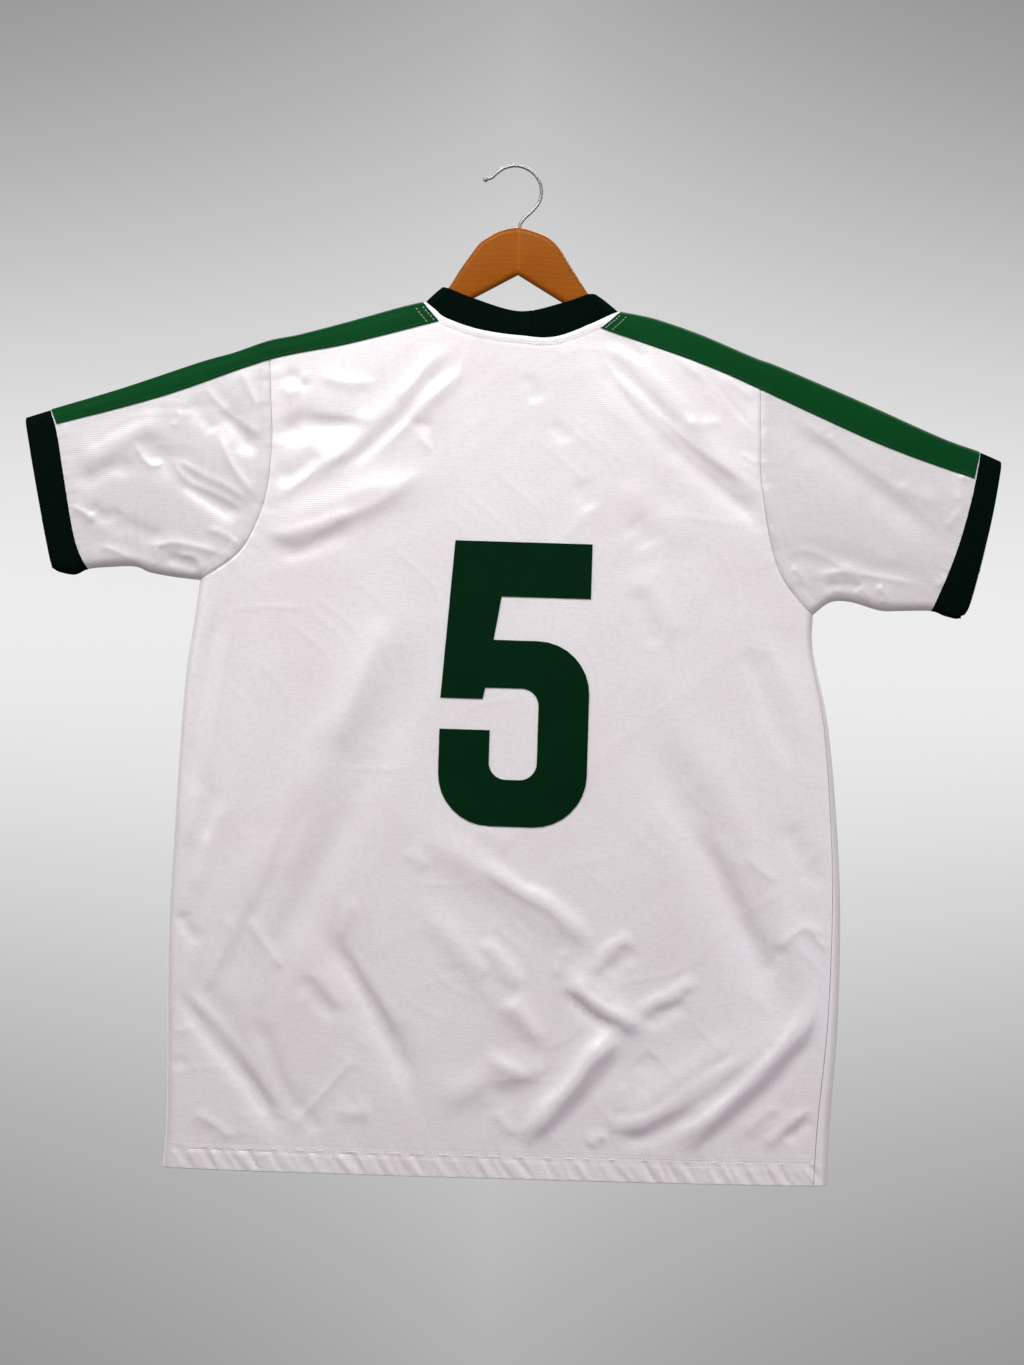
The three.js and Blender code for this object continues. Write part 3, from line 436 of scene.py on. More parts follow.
    Crease([(-6, -801), (13, -811), (32, -815)], 9, -1.3),
    Crease([(253, -567), (265, -590), (278, -613), (293, -626)], 10, -1.6),
    Crease([(172, -569), (192, -603), (211, -639), (229, -670), (242, -704), (256, -738)], 10, -2.4),
    Crease([(185, -569), (203, -601), (221, -636), (239, -668), (248, -687)], 9, 1.7, 1.8),
    Crease([(218, -596), (235, -612), (253, -622)], 3.4, 0.8, 1.2),
    Crease([(122, -801), (114, -817), (120, -825)], 5, 1.2, 1.4),
    Crease([(-9, -575), (0, -588), (15, -598)], 8, 1.0),
    Crease([(7, -826), (16, -839), (29, -849)], 5, 1.2, 1.4),
    Crease([(130, -780), (138, -784), (146, -775)], 8, -1.2),
]

FRONT_CREASES = [
    Crease([(-190, -200), (-150, -214), (-110, -240), (-84, -286)], 7, -2.0),
    Crease([(-196, -236), (-150, -250), (-118, -282)], 6, 1.8, 1.6),
    Crease([(-200, -300), (-160, -300), (-110, -330)], 7, -1.8),
    Crease([(206, -206), (160, -226), (120, -262), (98, -310)], 7, 2.0, 1.6),
    Crease([(214, -250), (170, -262), (130, -300)], 6, -1.9),
    Crease([(222, -316), (180, -314), (138, -340)], 7, 1.6, 1.6),
    Crease([(-40, -226), (-24, -290), (-30, -352)], 9, -1.4),
    Crease([(50, -222), (44, -280), (58, -340)], 9, 1.3, 1.6),
    Crease([(-236, -392), (-222, -470), (-196, -560), (-176, -640)], 8, 2.2, 1.6),
    Crease([(-250, -420), (-246, -500), (-232, -590)], 7, -1.9),
    Crease([(-120, -420), (-86, -520), (-60, -600)], 9, -1.7),
    Crease([(252, -410), (236, -500), (206, -590), (180, -660)], 8, -2.3),
    Crease([(266, -470), (256, -560), (230, -640)], 7, 1.9, 1.6),
    Crease([(130, -440), (96, -520), (80, -610)], 9, 1.7, 1.6),
    Crease([(-250, -700), (-200, -746), (-160, -800), (-140, -850)], 7, -2.2),
    Crease([(-170, -690), (-110, -742), (-60, -776), (-20, -830)], 7, 2.3, 1.6),
    Crease([(-210, -650), (-150, -690), (-92, -716)], 6, 1.6, 1.6),
    Crease([(-60, -640), (-10, -690), (50, -716)], 7, 2.0, 1.6),
    Crease([(10, -760), (60, -790), (100, -840)], 7, 2.2, 1.6),
    Crease([(110, -690), (150, -736), (206, -770), (250, -800)], 7, -2.2),
    Crease([(130, -660), (176, -700), (236, -730)], 6, 1.9, 1.6),
    Crease([(180, -800), (220, -826), (262, -850)], 6, 1.9, 1.6),
    Crease([(-110, -860), (-80, -810), (-30, -790)], 6, -1.5),
    Crease([(-328, -246), (-290, -262), (-246, -290), (-222, -322)], 6, -2.2),
    Crease([(-290, -216), (-250, -240), (-222, -280)], 6, 1.7, 1.6),
    Crease([(-370, -300), (-330, -296), (-280, -330)], 7, 1.6, 1.6),
    Crease([(-330, -346), (-290, -340), (-250, -352)], 5, -1.9),
    Crease([(340, -252), (300, -270), (262, -300), (242, -330)], 6, 2.1, 1.6),
    Crease([(300, -226), (262, -250), (234, -290)], 6, -1.9),
    Crease([(384, -314), (340, -312), (292, -340)], 7, -1.6),
    Crease([(340, -360), (300, -352), (262, -362)], 5, 1.8, 1.6),
]


# Plane curves

LINE_STEPS = 12


def smooth_line(points, steps=LINE_STEPS):
    """A smooth line through a few points: a Catmull-Rom curve with its ends doubled."""
    places = np.array(points, float)
    padded = np.vstack([places[:1], places, places[-1:]])
    t = np.arange(1, steps + 1)[:, None] / steps
    line = [places[:1]]
    for before, start, end, after in zip(padded, padded[1:], padded[2:], padded[3:]):
        square = (2 * before - 5 * start + 4 * end - after) * t ** 2
        cube = (3 * start - before - 3 * end + after) * t ** 3
        line.append(0.5 * (2 * start + (end - before) * t + square + cube))
    return np.vstack(line)


def lengths_of(line):
    """How far along a line, plane or in space, each of its points is."""
    return np.concatenate([[0], np.cumsum(np.linalg.norm(np.diff(line, axis=0), axis=1))])


def along(line, shares):
    """The places at some shares of a line's length."""
    passed = lengths_of(line)
    wanted = np.asarray(shares, float) * passed[-1]
    return np.stack([np.interp(wanted, passed, line[:, axis]) for axis in range(line.shape[1])], axis=-1)


def trimmed(places, amount):
    """Places on a line, each moved by the same amount to the left of the way the line runs."""
    before = places[np.maximum(np.arange(len(places)) - 1, 0)]
    after = places[np.minimum(np.arange(len(places)) + 1, len(places) - 1)]
    run = after - before
    span = np.linalg.norm(run, axis=1)[:, None]
    return places + amount * np.stack([-run[:, 1], run[:, 0]], axis=1) / span


def mixed(a, b, share):
    """A place between two, or a row of places between two, by shares."""
    return a + (b - a) * share


def joined_line(lists):
    """One smooth line through several lists of points, each of which starts where the last one ends."""
    points = lists[0] + [point for later in lists[1:] for point in later[1:]]
    line = smooth_line(points)
    pieces = []
    start = 0
    for part in lists:
        end = start + (len(part) - 1) * LINE_STEPS
        pieces.append(line[start:end + 1])
        start = end
    return pieces


def drawn_side(outline):
    """A side's outlines as smooth lines, with the whole ridge and the whole low line."""
    lines = {name: smooth_line(points) for name, points in outline.items()}
    ridge = joined_line([outline["shoulder"], outline["sleeve_top"], outline["cuff_top"]])
    low = joined_line([outline["underarm"], outline["cuff_low"]])
    lines["shoulder"], lines["sleeve_top"], lines["cuff_top"] = ridge
    lines["underarm"], lines["cuff_low"] = low
    lines["ridge"] = np.vstack(ridge)
    lines["low"] = np.vstack([lines["side"][::-1], *low])
    return lines


LEFT = drawn_side(LEFT_OUTLINE)
RIGHT = drawn_side(RIGHT_OUTLINE)
NECK = {name: smooth_line(points) for name, points in NECK_OUTLINE.items()}
OUTWARD = {"left": -1, "right": 1}
SIDES = {"left": LEFT, "right": RIGHT}
BLOCK = 4096


def nearest_on(line, places):
    """For each place: its distance to a line, how far along it that is and its side, +1 on the left."""
    run = np.diff(line, axis=0)
    span = np.maximum(np.linalg.norm(run, axis=1), 1e-9)
    passed = np.concatenate([[0], np.cumsum(span)])
    found = np.empty((3, len(places)))
    for first in range(0, len(places), BLOCK):
        block = places[first:first + BLOCK]
        to_x = block[:, :1] - line[:-1, 0]
        to_z = block[:, 1:] - line[:-1, 1]
        share = np.clip((to_x * run[:, 0] + to_z * run[:, 1]) / span ** 2, 0, 1)
        gap = np.hypot(to_x - share * run[:, 0], to_z - share * run[:, 1])
        best = gap.argmin(1)
        rows = np.arange(len(block))
        turn = run[best, 0] * to_z[rows, best] - run[best, 1] * to_x[rows, best]
        part = (passed[best] + share[rows, best] * span[best]) / passed[-1]
        found[:, first:first + BLOCK] = gap[rows, best], part, np.where(turn >= 0, 1, -1)
    return found


# Relief of the cloth: every height is outward, in millimetres

def wobble(turns, seed):
    """An uneven wave between about -1 and 1, the same each run."""
    return (np.sin(turns + seed) + 0.7 * np.sin(1.73 * turns + 2.1 * seed)
            + 0.5 * np.sin(2.91 * turns + 3.7 * seed)) / 2.2


def fold_height(folds, places):
    """Height of the large folds, as the solids have them."""
    height = np.zeros(len(places))
    for fold in folds:
        start = np.array(fold.start, float)
        run = np.array(fold.end, float) - start
        length = np.linalg.norm(run)
        away = places - start
        share = away @ run / length ** 2
        across = (away[:, 0] * run[1] - away[:, 1] * run[0]) / length
        ends = np.exp(-((np.maximum(0, np.abs(share - 0.5) - FOLD_CORE) / FOLD_END) ** 2))
        inside = (share > -FOLD_OVERRUN) & (share < 1 + FOLD_OVERRUN)
        height += np.where(inside, fold.height * ends * np.exp(-((across / fold.width) ** 2)), 0)
    return height


def crease_height(creases, places):
    """Height of the finer creases, which fade at their ends."""
    height = np.zeros(len(places))
    for number, crease in enumerate(creases):
        line = smooth_line(crease.path, CREASE_STEPS)
        reach = CREASE_REACH * crease.width
        inside = ((places > line.min(0) - reach) & (places < line.max(0) + reach)).all(1)
        near = np.flatnonzero(inside)
        if near.size == 0:
            continue
        distance, share, _ = nearest_on(line, places[near])
        ends = np.clip(np.minimum(share, 1 - share) / CREASE_END, 0, 1)
        swell = ends * ends * (3 - 2 * ends)
        width = crease.width * (1 + CREASE_UNEVEN * wobble(share * 9, number))
        rounded = np.sqrt(distance ** 2 + CREST_RADIUS ** 2) - CREST_RADIUS
        height[near] += crease.height * swell * np.exp(-((rounded / width) ** crease.form))
    return height


def broad_height(face, places):
    """The slight unevenness of hung cloth between its folds."""
    x, z = places[:, 0], places[:, 1]
    slow = wobble(x / 31 + z / 57, 1.3 + face) * wobble(z / 43 - x / 71, 2.2 - face)
    quick = wobble(x / 13 - z / 21, 4.1 * face) * wobble(z / 17 + x / 29, 5.3 + face)
    return 0.55 * slow + 0.22 * quick


def pinched_height(face, places):
    """Thin pinched lines that wander over the cloth, and come and go."""
    x, z = places[:, 0], places[:, 1]
    height = np.zeros(len(places))
    for number, (across, upward) in enumerate(PINCH_RUNS):
        wander = 1.6 * wobble((upward * x - across * z) / 55, number + face)
        run = (across * x + upward * z) / PINCH_PITCH + wander
        where = np.clip(wobble(x / 41 - z / 33, 2.3 * number + face) + 0.1, 0, 1)
        height += where * np.exp(-np.abs(wobble(run, 1.7 * number)) / PINCH_SHARE)
    return PINCH_HEIGHT * height


def groove_height(groove, distance):
    """Height of a groove at some distances from its seam."""
    return -groove.depth * np.exp(-(((distance - groove.distance) / groove.width) ** 2))


def pucker_height(pucker, arc, distance, turn=0):
    """Height of a seam's puckers, by how far along it and how far from it places are."""
    return pucker.height * wobble(arc / pucker.pitch, pucker.seed + turn) * np.exp(-distance / pucker.reach)


def seam_height(face, places):
    """Grooves, seam allowances and puckers along the armholes, the cuff seams, the neck seam and the hem."""
    height = np.zeros(len(places))
    for name, lines in SIDES.items():
        distance, share, side = nearest_on(lines["armhole"], places)
        arc = share * lengths_of(lines["armhole"])[-1]
        on_sleeve = side == OUTWARD[name]
        allowance = np.exp(-(((distance - ALLOWANCE_MIDDLE) / ALLOWANCE_HALF) ** 4))
        height += groove_height(ARMHOLE_GROOVE, distance)
        height += np.where(on_sleeve, ALLOWANCE_HEIGHT * allowance, 0)
        height += pucker_height(ARMHOLE_PUCKER, arc, distance, face)
        distance, share, _ = nearest_on(lines["cuff_seam"], places)
        arc = share * lengths_of(lines["cuff_seam"])[-1]
        height += pucker_height(CUFF_PUCKER, arc, distance, face)
        height -= CUFF_GROOVE_DEPTH * np.exp(-distance - distance / CUFF_PUCKER.reach)
    neck = NECK["back"] if face == BACK else NECK["front"]
    distance, share, _ = nearest_on(neck, places)
    arc = share * lengths_of(neck)[-1]
    height += groove_height(NECK_GROOVE, distance) + groove_height(NECK_STITCH_GROOVE, distance)
    height += pucker_height(NECK_PUCKER, arc, distance)
    return height + hem_height(face, places)


def hem_line_height(face, places):
    """How far places are above the hem."""
    left, right = LEFT["side"][-1], RIGHT["side"][-1]
    across = np.clip((places[:, 0] - left[0]) / (right[0] - left[0]), 0, 1)
    hem = mixed(HEM_LEFT_Z, HEM_RIGHT_Z, across)
    drop = FRONT_HEM_DROP * np.sin(math.pi * across) if face == FRONT else 0
    return places[:, 1] - hem + drop


def hem_height(face, places):
    """The turned hem: a thicker band with stitch grooves and small slanting ripples."""
    up = hem_line_height(face, places)
    across = places[:, 0]
    band = 1 / (1 + np.exp((up - HEM_STITCHES - 1.5) / 0.6))
    grooves = sum(groove_height(groove, up) for groove in HEM_GROOVES)
    slanted = (across + HEM_RIPPLE_SLANT * up) / HEM_RIPPLE_PITCH + 1.4 * wobble(across / 23, 3.3)
    swell = 0.75 + 0.45 * wobble(across / 19, 1.2 + face)
    fade = np.exp(-(((up - HEM_RIPPLE_MIDDLE) / HEM_RIPPLE_REACH) ** 4))
    ripples = HEM_RIPPLE * swell * wobble(slanted, 0.4 + face) * fade
    above = wobble(slanted / 1.7, 2.4 + face) * np.exp(-np.abs(up - HEM_FOLD) / ABOVE_HEM_REACH)
    return HEM_RISE * band + grooves + ripples + ABOVE_HEM_RIPPLE * above


def half_depth(face, places):
    """How far the cloth stands from the plane Y = 0 at places, on the back or the front."""
    flat = places.reshape(-1, 2)
    ridge = np.minimum(nearest_on(LEFT["ridge"], flat)[0], nearest_on(RIGHT["ridge"], flat)[0])
    low = np.minimum(nearest_on(LEFT["low"], flat)[0], nearest_on(RIGHT["low"], flat)[0])
    rounded = 1.0
    belly = 1.0
    fold_fade = 1.0
    crease_fade = 1.0
    for distance in (ridge, low):
        rounded = rounded * np.sqrt(1 - (1 - np.minimum(distance, EDGE_RADIUS) / EDGE_RADIUS) ** 2)
        belly = belly * (1 - np.exp(-distance / BELLY_REACH))
        fold_fade = fold_fade * (1 - np.exp(-distance / FOLD_FADE)) ** 2
        crease_fade = crease_fade * (1 - np.exp(-distance / CREASE_FADE)) ** 2
    large = fold_height(BACK_FOLDS if face == BACK else FRONT_FOLDS, flat)
    fine = crease_height(BACK_CREASES if face == BACK else FRONT_CREASES, flat)
    fine += broad_height(face, flat) + pinched_height(face, flat)
    strength = bpy.context.scene.jersey_cloth.crease_strength
    depth = EDGE_DEPTH * rounded + BELLY_DEPTH * belly + large * fold_fade
    depth = depth + (strength * fine + seam_height(face, flat)) * crease_fade
    return np.maximum(depth, 0.1).reshape(places.shape[:-1])


def on_cloth(face, places):
    """Places in the outline's plane, raised to the surface of the cloth."""
    return np.stack([places[..., 0], face * half_depth(face, places), places[..., 1]], axis=-1)


# Grids of the cloth pieces

TURN_STEPS = 7


def edge_steps(length, pitch, start=True, end=True):
    """Shares of a length, a pitch apart, and closer together where the cloth turns over at its ends."""
    turn = EDGE_RADIUS * (1 - np.cos(np.linspace(0, math.pi / 2, TURN_STEPS + 1)))
    low = turn if start else np.zeros(1)
    high = length - turn[::-1] if end else np.array([length])
    count = max(2, round((high[0] - low[-1]) / pitch) + 1)
    middle = np.linspace(low[-1], high[0], count)[1:-1]
    return np.concatenate([low, middle, high]) / length


def panel_columns(neck_line, pitch):
    """Shares of a panel's width for its columns, and where each column meets the shoulder or the neck."""
    first, last = NECK_COLUMNS
    from_left = edge_steps(LEFT_SHOULDER_LENGTH, pitch, end=False)
    from_right = edge_steps(RIGHT_SHOULDER_LENGTH, pitch, end=False)
    at_neck = edge_steps(NECK_LENGTH, pitch, start=False, end=False)
    across = [from_left[:-1] * first, mixed(first, last, at_neck), mixed(1, last, from_right)[::-1][1:]]
    tops = [
        along(LEFT["shoulder"], 1 - from_left[:-1]),
        trimmed(along(neck_line, at_neck), -SEAM_GAP / 2),
        along(RIGHT["shoulder"], 1 - from_right)[::-1][1:],
    ]
    return np.concatenate(across), np.concatenate(tops)


def panel_grid(face, pitch):
    """A panel's places: rows from the shoulder to the hem, and columns from the left to the right."""
    half = SEAM_GAP / 2
    strip = ARMHOLE_STRIP if face == FRONT else 0
    across, tops = panel_columns(NECK["back"] if face == BACK else NECK["front"], pitch)
    down = edge_steps(ARMHOLE_LENGTH, pitch)
    body = np.linspace(0, 1, round(BODY_LENGTH / pitch) + 1)[1:]
    body = np.concatenate([body[:-1], rolled_end(BODY_LENGTH)])
    side = along(RIGHT["side"], body)
    wrap = mixed(WRAP_TOP, WRAP_HEM, body)
    inset = np.stack([wrap + WRAP_GAP / 2, np.zeros(len(body))], axis=1)
    start = np.vstack([trimmed(along(LEFT["armhole"], down), half), along(LEFT["side"], body)])
    end = np.vstack([
        trimmed(along(RIGHT["armhole"], down), -half - strip),
        side if face == FRONT else side - inset,
    ])
    tops[0], tops[-1] = start[0], end[0]
    rise = np.concatenate([(1 - down) ** 2, np.zeros(len(body))])
    drop = np.concatenate([np.zeros(len(down)), FRONT_HEM_DROP * body ** 4 if face == FRONT else 0 * body])
    shares = across[None, :, None]
    places = mixed(start[:, None], end[:, None], shares)
    base = mixed(start[0], end[0], across[:, None])
    places = places + (tops - base) * rise[:, None, None]
    places[..., 1] -= drop[:, None] * np.sin(math.pi * across)
    return places, len(down), wrap


def rolled_end(length):
    """Shares of a length for the last rows before an edge that is rounded over."""
    return 1 - HEM_EDGE_RADIUS * (1 - np.sin(ROLL)) / length


def ring_grid(tops, lows, bends, steps, trims):
    """Rings round a sleeve or a cuff: each runs down the back from its top and up the front again."""
    rows = []
    for top, low, bend, trim in zip(tops, lows, bends, trims):
        places = mixed(top, low, steps[:, None]) + bend
        rows.append(trimmed(places, trim) if trim else places)
    plane = np.array(rows)
    back = on_cloth(BACK, plane)
    back[:, [0, -1], 1] = 0
    front = on_cloth(FRONT, plane[:, 1:-1])[:, ::-1]
    return np.concatenate([back, front], axis=1)


def bend_of(line, steps):
    """How far a line bends away from the straight line between its ends."""
    return along(line, steps) - mixed(line[0], line[-1], steps[:, None])


def sleeve_grid(side, pitch):
    """A sleeve's places, from the armhole to the cuff seam."""
    lines = SIDES[side]
    steps = edge_steps(SLEEVE_WIDTH, pitch)
    shares = np.linspace(0, 1, round(SLEEVE_LENGTH / pitch) + 1)
    armhole, cuff = bend_of(lines["armhole"], steps), bend_of(lines["cuff_seam"], steps)
    half = OUTWARD[side] * SEAM_GAP / 2
    trims = [half, *[0] * (len(shares) - 2), -half]
    bends = [mixed(armhole, cuff, share) for share in shares]
    tops, lows = along(lines["sleeve_top"], shares), along(lines["underarm"], shares)
    return ring_grid(tops, lows, bends, steps, trims)


def outward_of(grid, ring):
    """Unit directions out of the cloth over a grid, and whether its cells turn that way."""
    if ring:
        across = np.roll(grid, -1, axis=1) - np.roll(grid, 1, axis=1)
    else:
        across = np.gradient(grid, axis=1)
    normal = np.cross(across, np.gradient(grid, axis=0))
    normal /= np.maximum(np.linalg.norm(normal, axis=-1, keepdims=True), 1e-12)
    turned = np.sum(normal[..., 1] * grid[..., 1]) < 0
    return (-normal if turned else normal), turned


# Making objects

# The hidden inner side of the cloth takes every so many of its outer places
INNER_STEP = 3


def new_object(name, places, faces, material, sharp=35):
    """A smooth mesh object whose places are given in millimetres."""
    mesh = bpy.data.meshes.new(name)
    mesh.from_pydata((np.asarray(places) * MM).tolist(), [], [list(face) for face in faces])
    mesh.materials.append(material)
    mesh.shade_smooth()
    mesh.set_sharp_from_angle(angle=math.radians(sharp))
    mesh.update()
    made = bpy.data.objects.new(name, mesh)
    bpy.context.scene.collection.objects.link(made)
    return made


def quads_of(index):
    """The four-cornered faces of a grid of numbered places."""
    corners = [index[:-1, :-1], index[:-1, 1:], index[1:, 1:], index[1:, :-1]]
    return np.stack(corners, axis=-1).reshape(-1, 4)


def rim_faces(outer, inner, picked):
    """Faces from a fine edge to a coarse one, whose places stand at the picked places of the fine one."""
    pairs = zip(picked, picked[1:], inner, inner[1:])
    return [[*outer[first:last + 1].tolist(), int(b), int(a)] for first, last, a, b in pairs]


def every(count, step, last):
    """Every so many of a count of places, and the last one too unless they go round."""
    picked = list(range(0, count - 1 if last else count, step))
    return picked + [count - 1] if last else picked


def wall_faces(rows, columns, ring, turned, step):
    """Faces of a closed wall: a fine outer grid, and an inner one with every so many of its places."""
    picked_rows = every(rows, step, True)
    picked_columns = every(columns, step, not ring)
    outer = np.arange(rows * columns).reshape(rows, columns)
    inner = rows * columns + np.arange(len(picked_rows) * len(picked_columns))
    inner = inner.reshape(len(picked_rows), -1)
    across = picked_columns + [columns] if ring else picked_columns
    if ring:
        outer, inner = np.hstack([outer, outer[:, :1]]), np.hstack([inner, inner[:, :1]])
    faces = quads_of(outer).tolist() + quads_of(inner)[:, ::-1].tolist()
    first_rim = rim_faces(outer[0], inner[0], across)
    last_rim = rim_faces(outer[-1], inner[-1], across)
    faces += [face[::-1] for face in first_rim] + last_rim
    if not ring:
        faces += rim_faces(outer[:, 0], inner[:, 0], picked_rows)
        faces += [face[::-1] for face in rim_faces(outer[:, -1], inner[:, -1], picked_rows)]
    return faces if turned else [face[::-1] for face in faces]


def shell(name, grid, thickness, material, ring=False, lift=0.0, roll=None, step=1):
    """A closed wall under a grid of places; roll rounds its last rows over to an edge."""
    rows, columns = grid.shape[:2]
    out, turned = outward_of(grid, ring)
    thick = np.broadcast_to(thickness, (rows, columns))[..., None]
    curl = np.zeros((rows, 1, 1))
    if roll is not None:
        curl[rows - len(roll):, 0, 0] = roll
    outer = grid + out * (lift - thick / 2 * (1 - np.cos(curl)))
    inner = grid + out * (lift - thick / 2 * (1 + np.cos(curl)))
    inner = inner[every(rows, step, True)][:, every(columns, step, not ring)]
    places = np.concatenate([outer.reshape(-1, 3), inner.reshape(-1, 3)])
    return new_object(name, places, wall_faces(rows, columns, ring, turned, step), material)


def ride_and_slot(piece, slot, *nodes):
    """Ties a piece to the part's one body and hides the solids that it stands for; its slot is not used."""
    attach(piece, "root")
    if nodes:
        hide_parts(*nodes)


# Finishes

class Finish:
    """A material being made: its nodes are added, set and joined here."""

    def __init__(self, name, **shader_values):
        self.material = bpy.data.materials.new(name)
        self.material.use_nodes = True
        self.tree = self.material.node_tree
        self.shader = self.tree.nodes["Principled BSDF"]
        for socket, value in shader_values.items():
            self.shader.inputs[socket.replace("_", " ")].default_value = value
        self.place = self.add("ShaderNodeTexCoord").outputs["Object"]

    def add(self, kind, settings=None, inputs=None):
        """A new node with its settings, and with its inputs set or joined."""
        node = self.tree.nodes.new(kind)
        for name, value in (settings or {}).items():
            setattr(node, name, value)
        for name, value in (inputs or {}).items():
            if isinstance(value, bpy.types.NodeSocket):
                self.tree.links.new(value, node.inputs[name])
            else:
                node.inputs[name].default_value = value
        return node

    def scaled(self, scale, turn=(0, 0, 0)):
        """The place in the object, turned and scaled."""
        inputs = {"Vector": self.place, "Scale": scale, "Rotation": turn}
        return self.add("ShaderNodeMapping", inputs=inputs).outputs["Vector"]

    def noise(self, scale, detail=2.0, where=None):
        """Uneven grey patches."""
        inputs = {"Vector": where or self.place, "Scale": scale, "Detail": detail}
        return self.add("ShaderNodeTexNoise", inputs=inputs).outputs["Fac"]

    def lines(self, pitch, axis="Z", distortion=0.0, where=None):
        """Fine waves a pitch apart along an axis."""
        settings = {"wave_type": "BANDS", "bands_direction": axis, "wave_profile": "SIN"}
        inputs = {"Vector": where or self.place, "Scale": math.pi / 10 / pitch, "Distortion": distortion}
        return self.add("ShaderNodeTexWave", settings, inputs).outputs["Fac"]

    def ranged(self, value, low, high, from_low=0.0, from_high=1.0):
        """A value brought from one range to another."""
        names = {"Value": value, "From Min": from_low, "From Max": from_high, "To Min": low, "To Max": high}
        return self.add("ShaderNodeMapRange", inputs=names).outputs["Result"]

    def maths(self, operation, a, b=0.0):
        """The result of one operation on two values."""
        return self.add("ShaderNodeMath", {"operation": operation}, {0: a, 1: b}).outputs[0]

    def mix(self, share, a, b):
        """A colour between two, by a share."""
        node = self.add("ShaderNodeMix", {"data_type": "RGBA"}, {"Factor": share})
        for slot, value in ((6, a), (7, b)):
            if isinstance(value, bpy.types.NodeSocket):
                self.tree.links.new(value, node.inputs[slot])
            else:
                node.inputs[slot].default_value = (*value[:3], 1)
        return node.outputs[2]

    def bump(self, height, strength, distance, below=None):
        """Small relief from a height, on top of the relief below it."""
        inputs = {"Height": height, "Strength": strength, "Distance": distance}
        if below is not None:
            inputs["Normal"] = below
        return self.add("ShaderNodeBump", inputs=inputs).outputs["Normal"]

    def set(self, **sockets):
        """Joins values to the shader and gives the finished material."""
        for name, value in sockets.items():
            self.tree.links.new(value, self.shader.inputs[name.replace("_", " ")])
        return self.material


def shade(colour, factor):
    """A lighter or darker colour."""
    return tuple(min(1.0, part * factor) for part in colour[:3])


class Knit(NamedTuple):
    """A knitted cloth: the pitch of its rows in metres, its roughness, its shine and its relief."""
    pitch: float
    roughness: float
    shine: float
    relief: float


BODY_KNIT = Knit(0.0016, 0.36, 0.9, 1.0)
SLEEVE_KNIT = Knit(0.0016, 0.34, 1.0, 1.0)
TAPE_KNIT = Knit(0.0010, 0.55, 0.05, 0.2)


def cloth_finish(name, colour, shadow_colour, knit):
    """Shiny knitted polyester: fine level rows, a little unevenness and a soft sheen."""
    relief = knit.relief
    finish = Finish(
        name, Roughness=knit.roughness, Sheen_Weight=0.02 * relief, Sheen_Roughness=0.4,
        Specular_IOR_Level=knit.shine)
    rows = finish.lines(knit.pitch, "Z", distortion=0.6)
    threads = finish.noise(1400, 1.0, finish.scaled((1.0, 1.0, 0.35)))
    patches = finish.noise(9, 3.0)
    colour_share = finish.ranged(patches, 0.0, 0.55, 0.35, 0.7)
    base = finish.mix(colour_share, colour, shadow_colour)
    row_share = finish.ranged(rows, 0.0, 0.16 * relief)
    base = finish.mix(row_share, base, shade(shadow_colour, 0.72))
    specks = finish.noise(420, 2.0, finish.scaled((0.6, 1.0, 1.0)))
    speck_share = finish.ranged(specks, 0.0, 0.3 * relief, 0.45, 0.75)
    base = finish.mix(speck_share, base, shade(shadow_colour, 0.8))
    rough = finish.ranged(finish.noise(26, 2.0), knit.roughness - 0.05, knit.roughness + 0.07)
    normal = finish.bump(rows, 0.3 * relief, 0.0002)
    normal = finish.bump(threads, 0.2 * relief, 0.00015, normal)
    normal = finish.bump(finish.noise(45, 3.0), 0.12 * relief, 0.0015, normal)
    return finish.set(Base_Color=base, Roughness=rough, Normal=normal)


def rib_finish(name, colour):
    """Matt ribbed knit, its threads lighter and darker at random."""
    finish = Finish(name, Roughness=0.8, Specular_IOR_Level=0.03)
    threads = finish.noise(1100, 2.0)
    share = finish.ranged(threads, 0.0, 1.0, 0.3, 0.75)
    base = finish.mix(share, shade(colour, 0.6), shade(colour, 1.7))
    normal = finish.bump(threads, 0.35, 0.0005)
    return finish.set(Base_Color=base, Normal=normal)


def print_finish(name, colour):
    """Smooth heat-pressed film that takes a trace of the knit beneath it."""
    finish = Finish(name, Roughness=0.45, Specular_IOR_Level=0.05)
    rows = finish.lines(0.0013, "Z", distortion=0.5)
    patches = finish.ranged(finish.noise(30, 3.0), 0.0, 1.0)
    base = finish.mix(patches, shade(colour, 0.8), shade(colour, 1.25))
    rough = finish.ranged(finish.noise(80, 3.0), 0.34, 0.5)
    normal = finish.bump(rows, 0.12, 0.0002)
    return finish.set(Base_Color=base, Roughness=rough, Normal=normal)


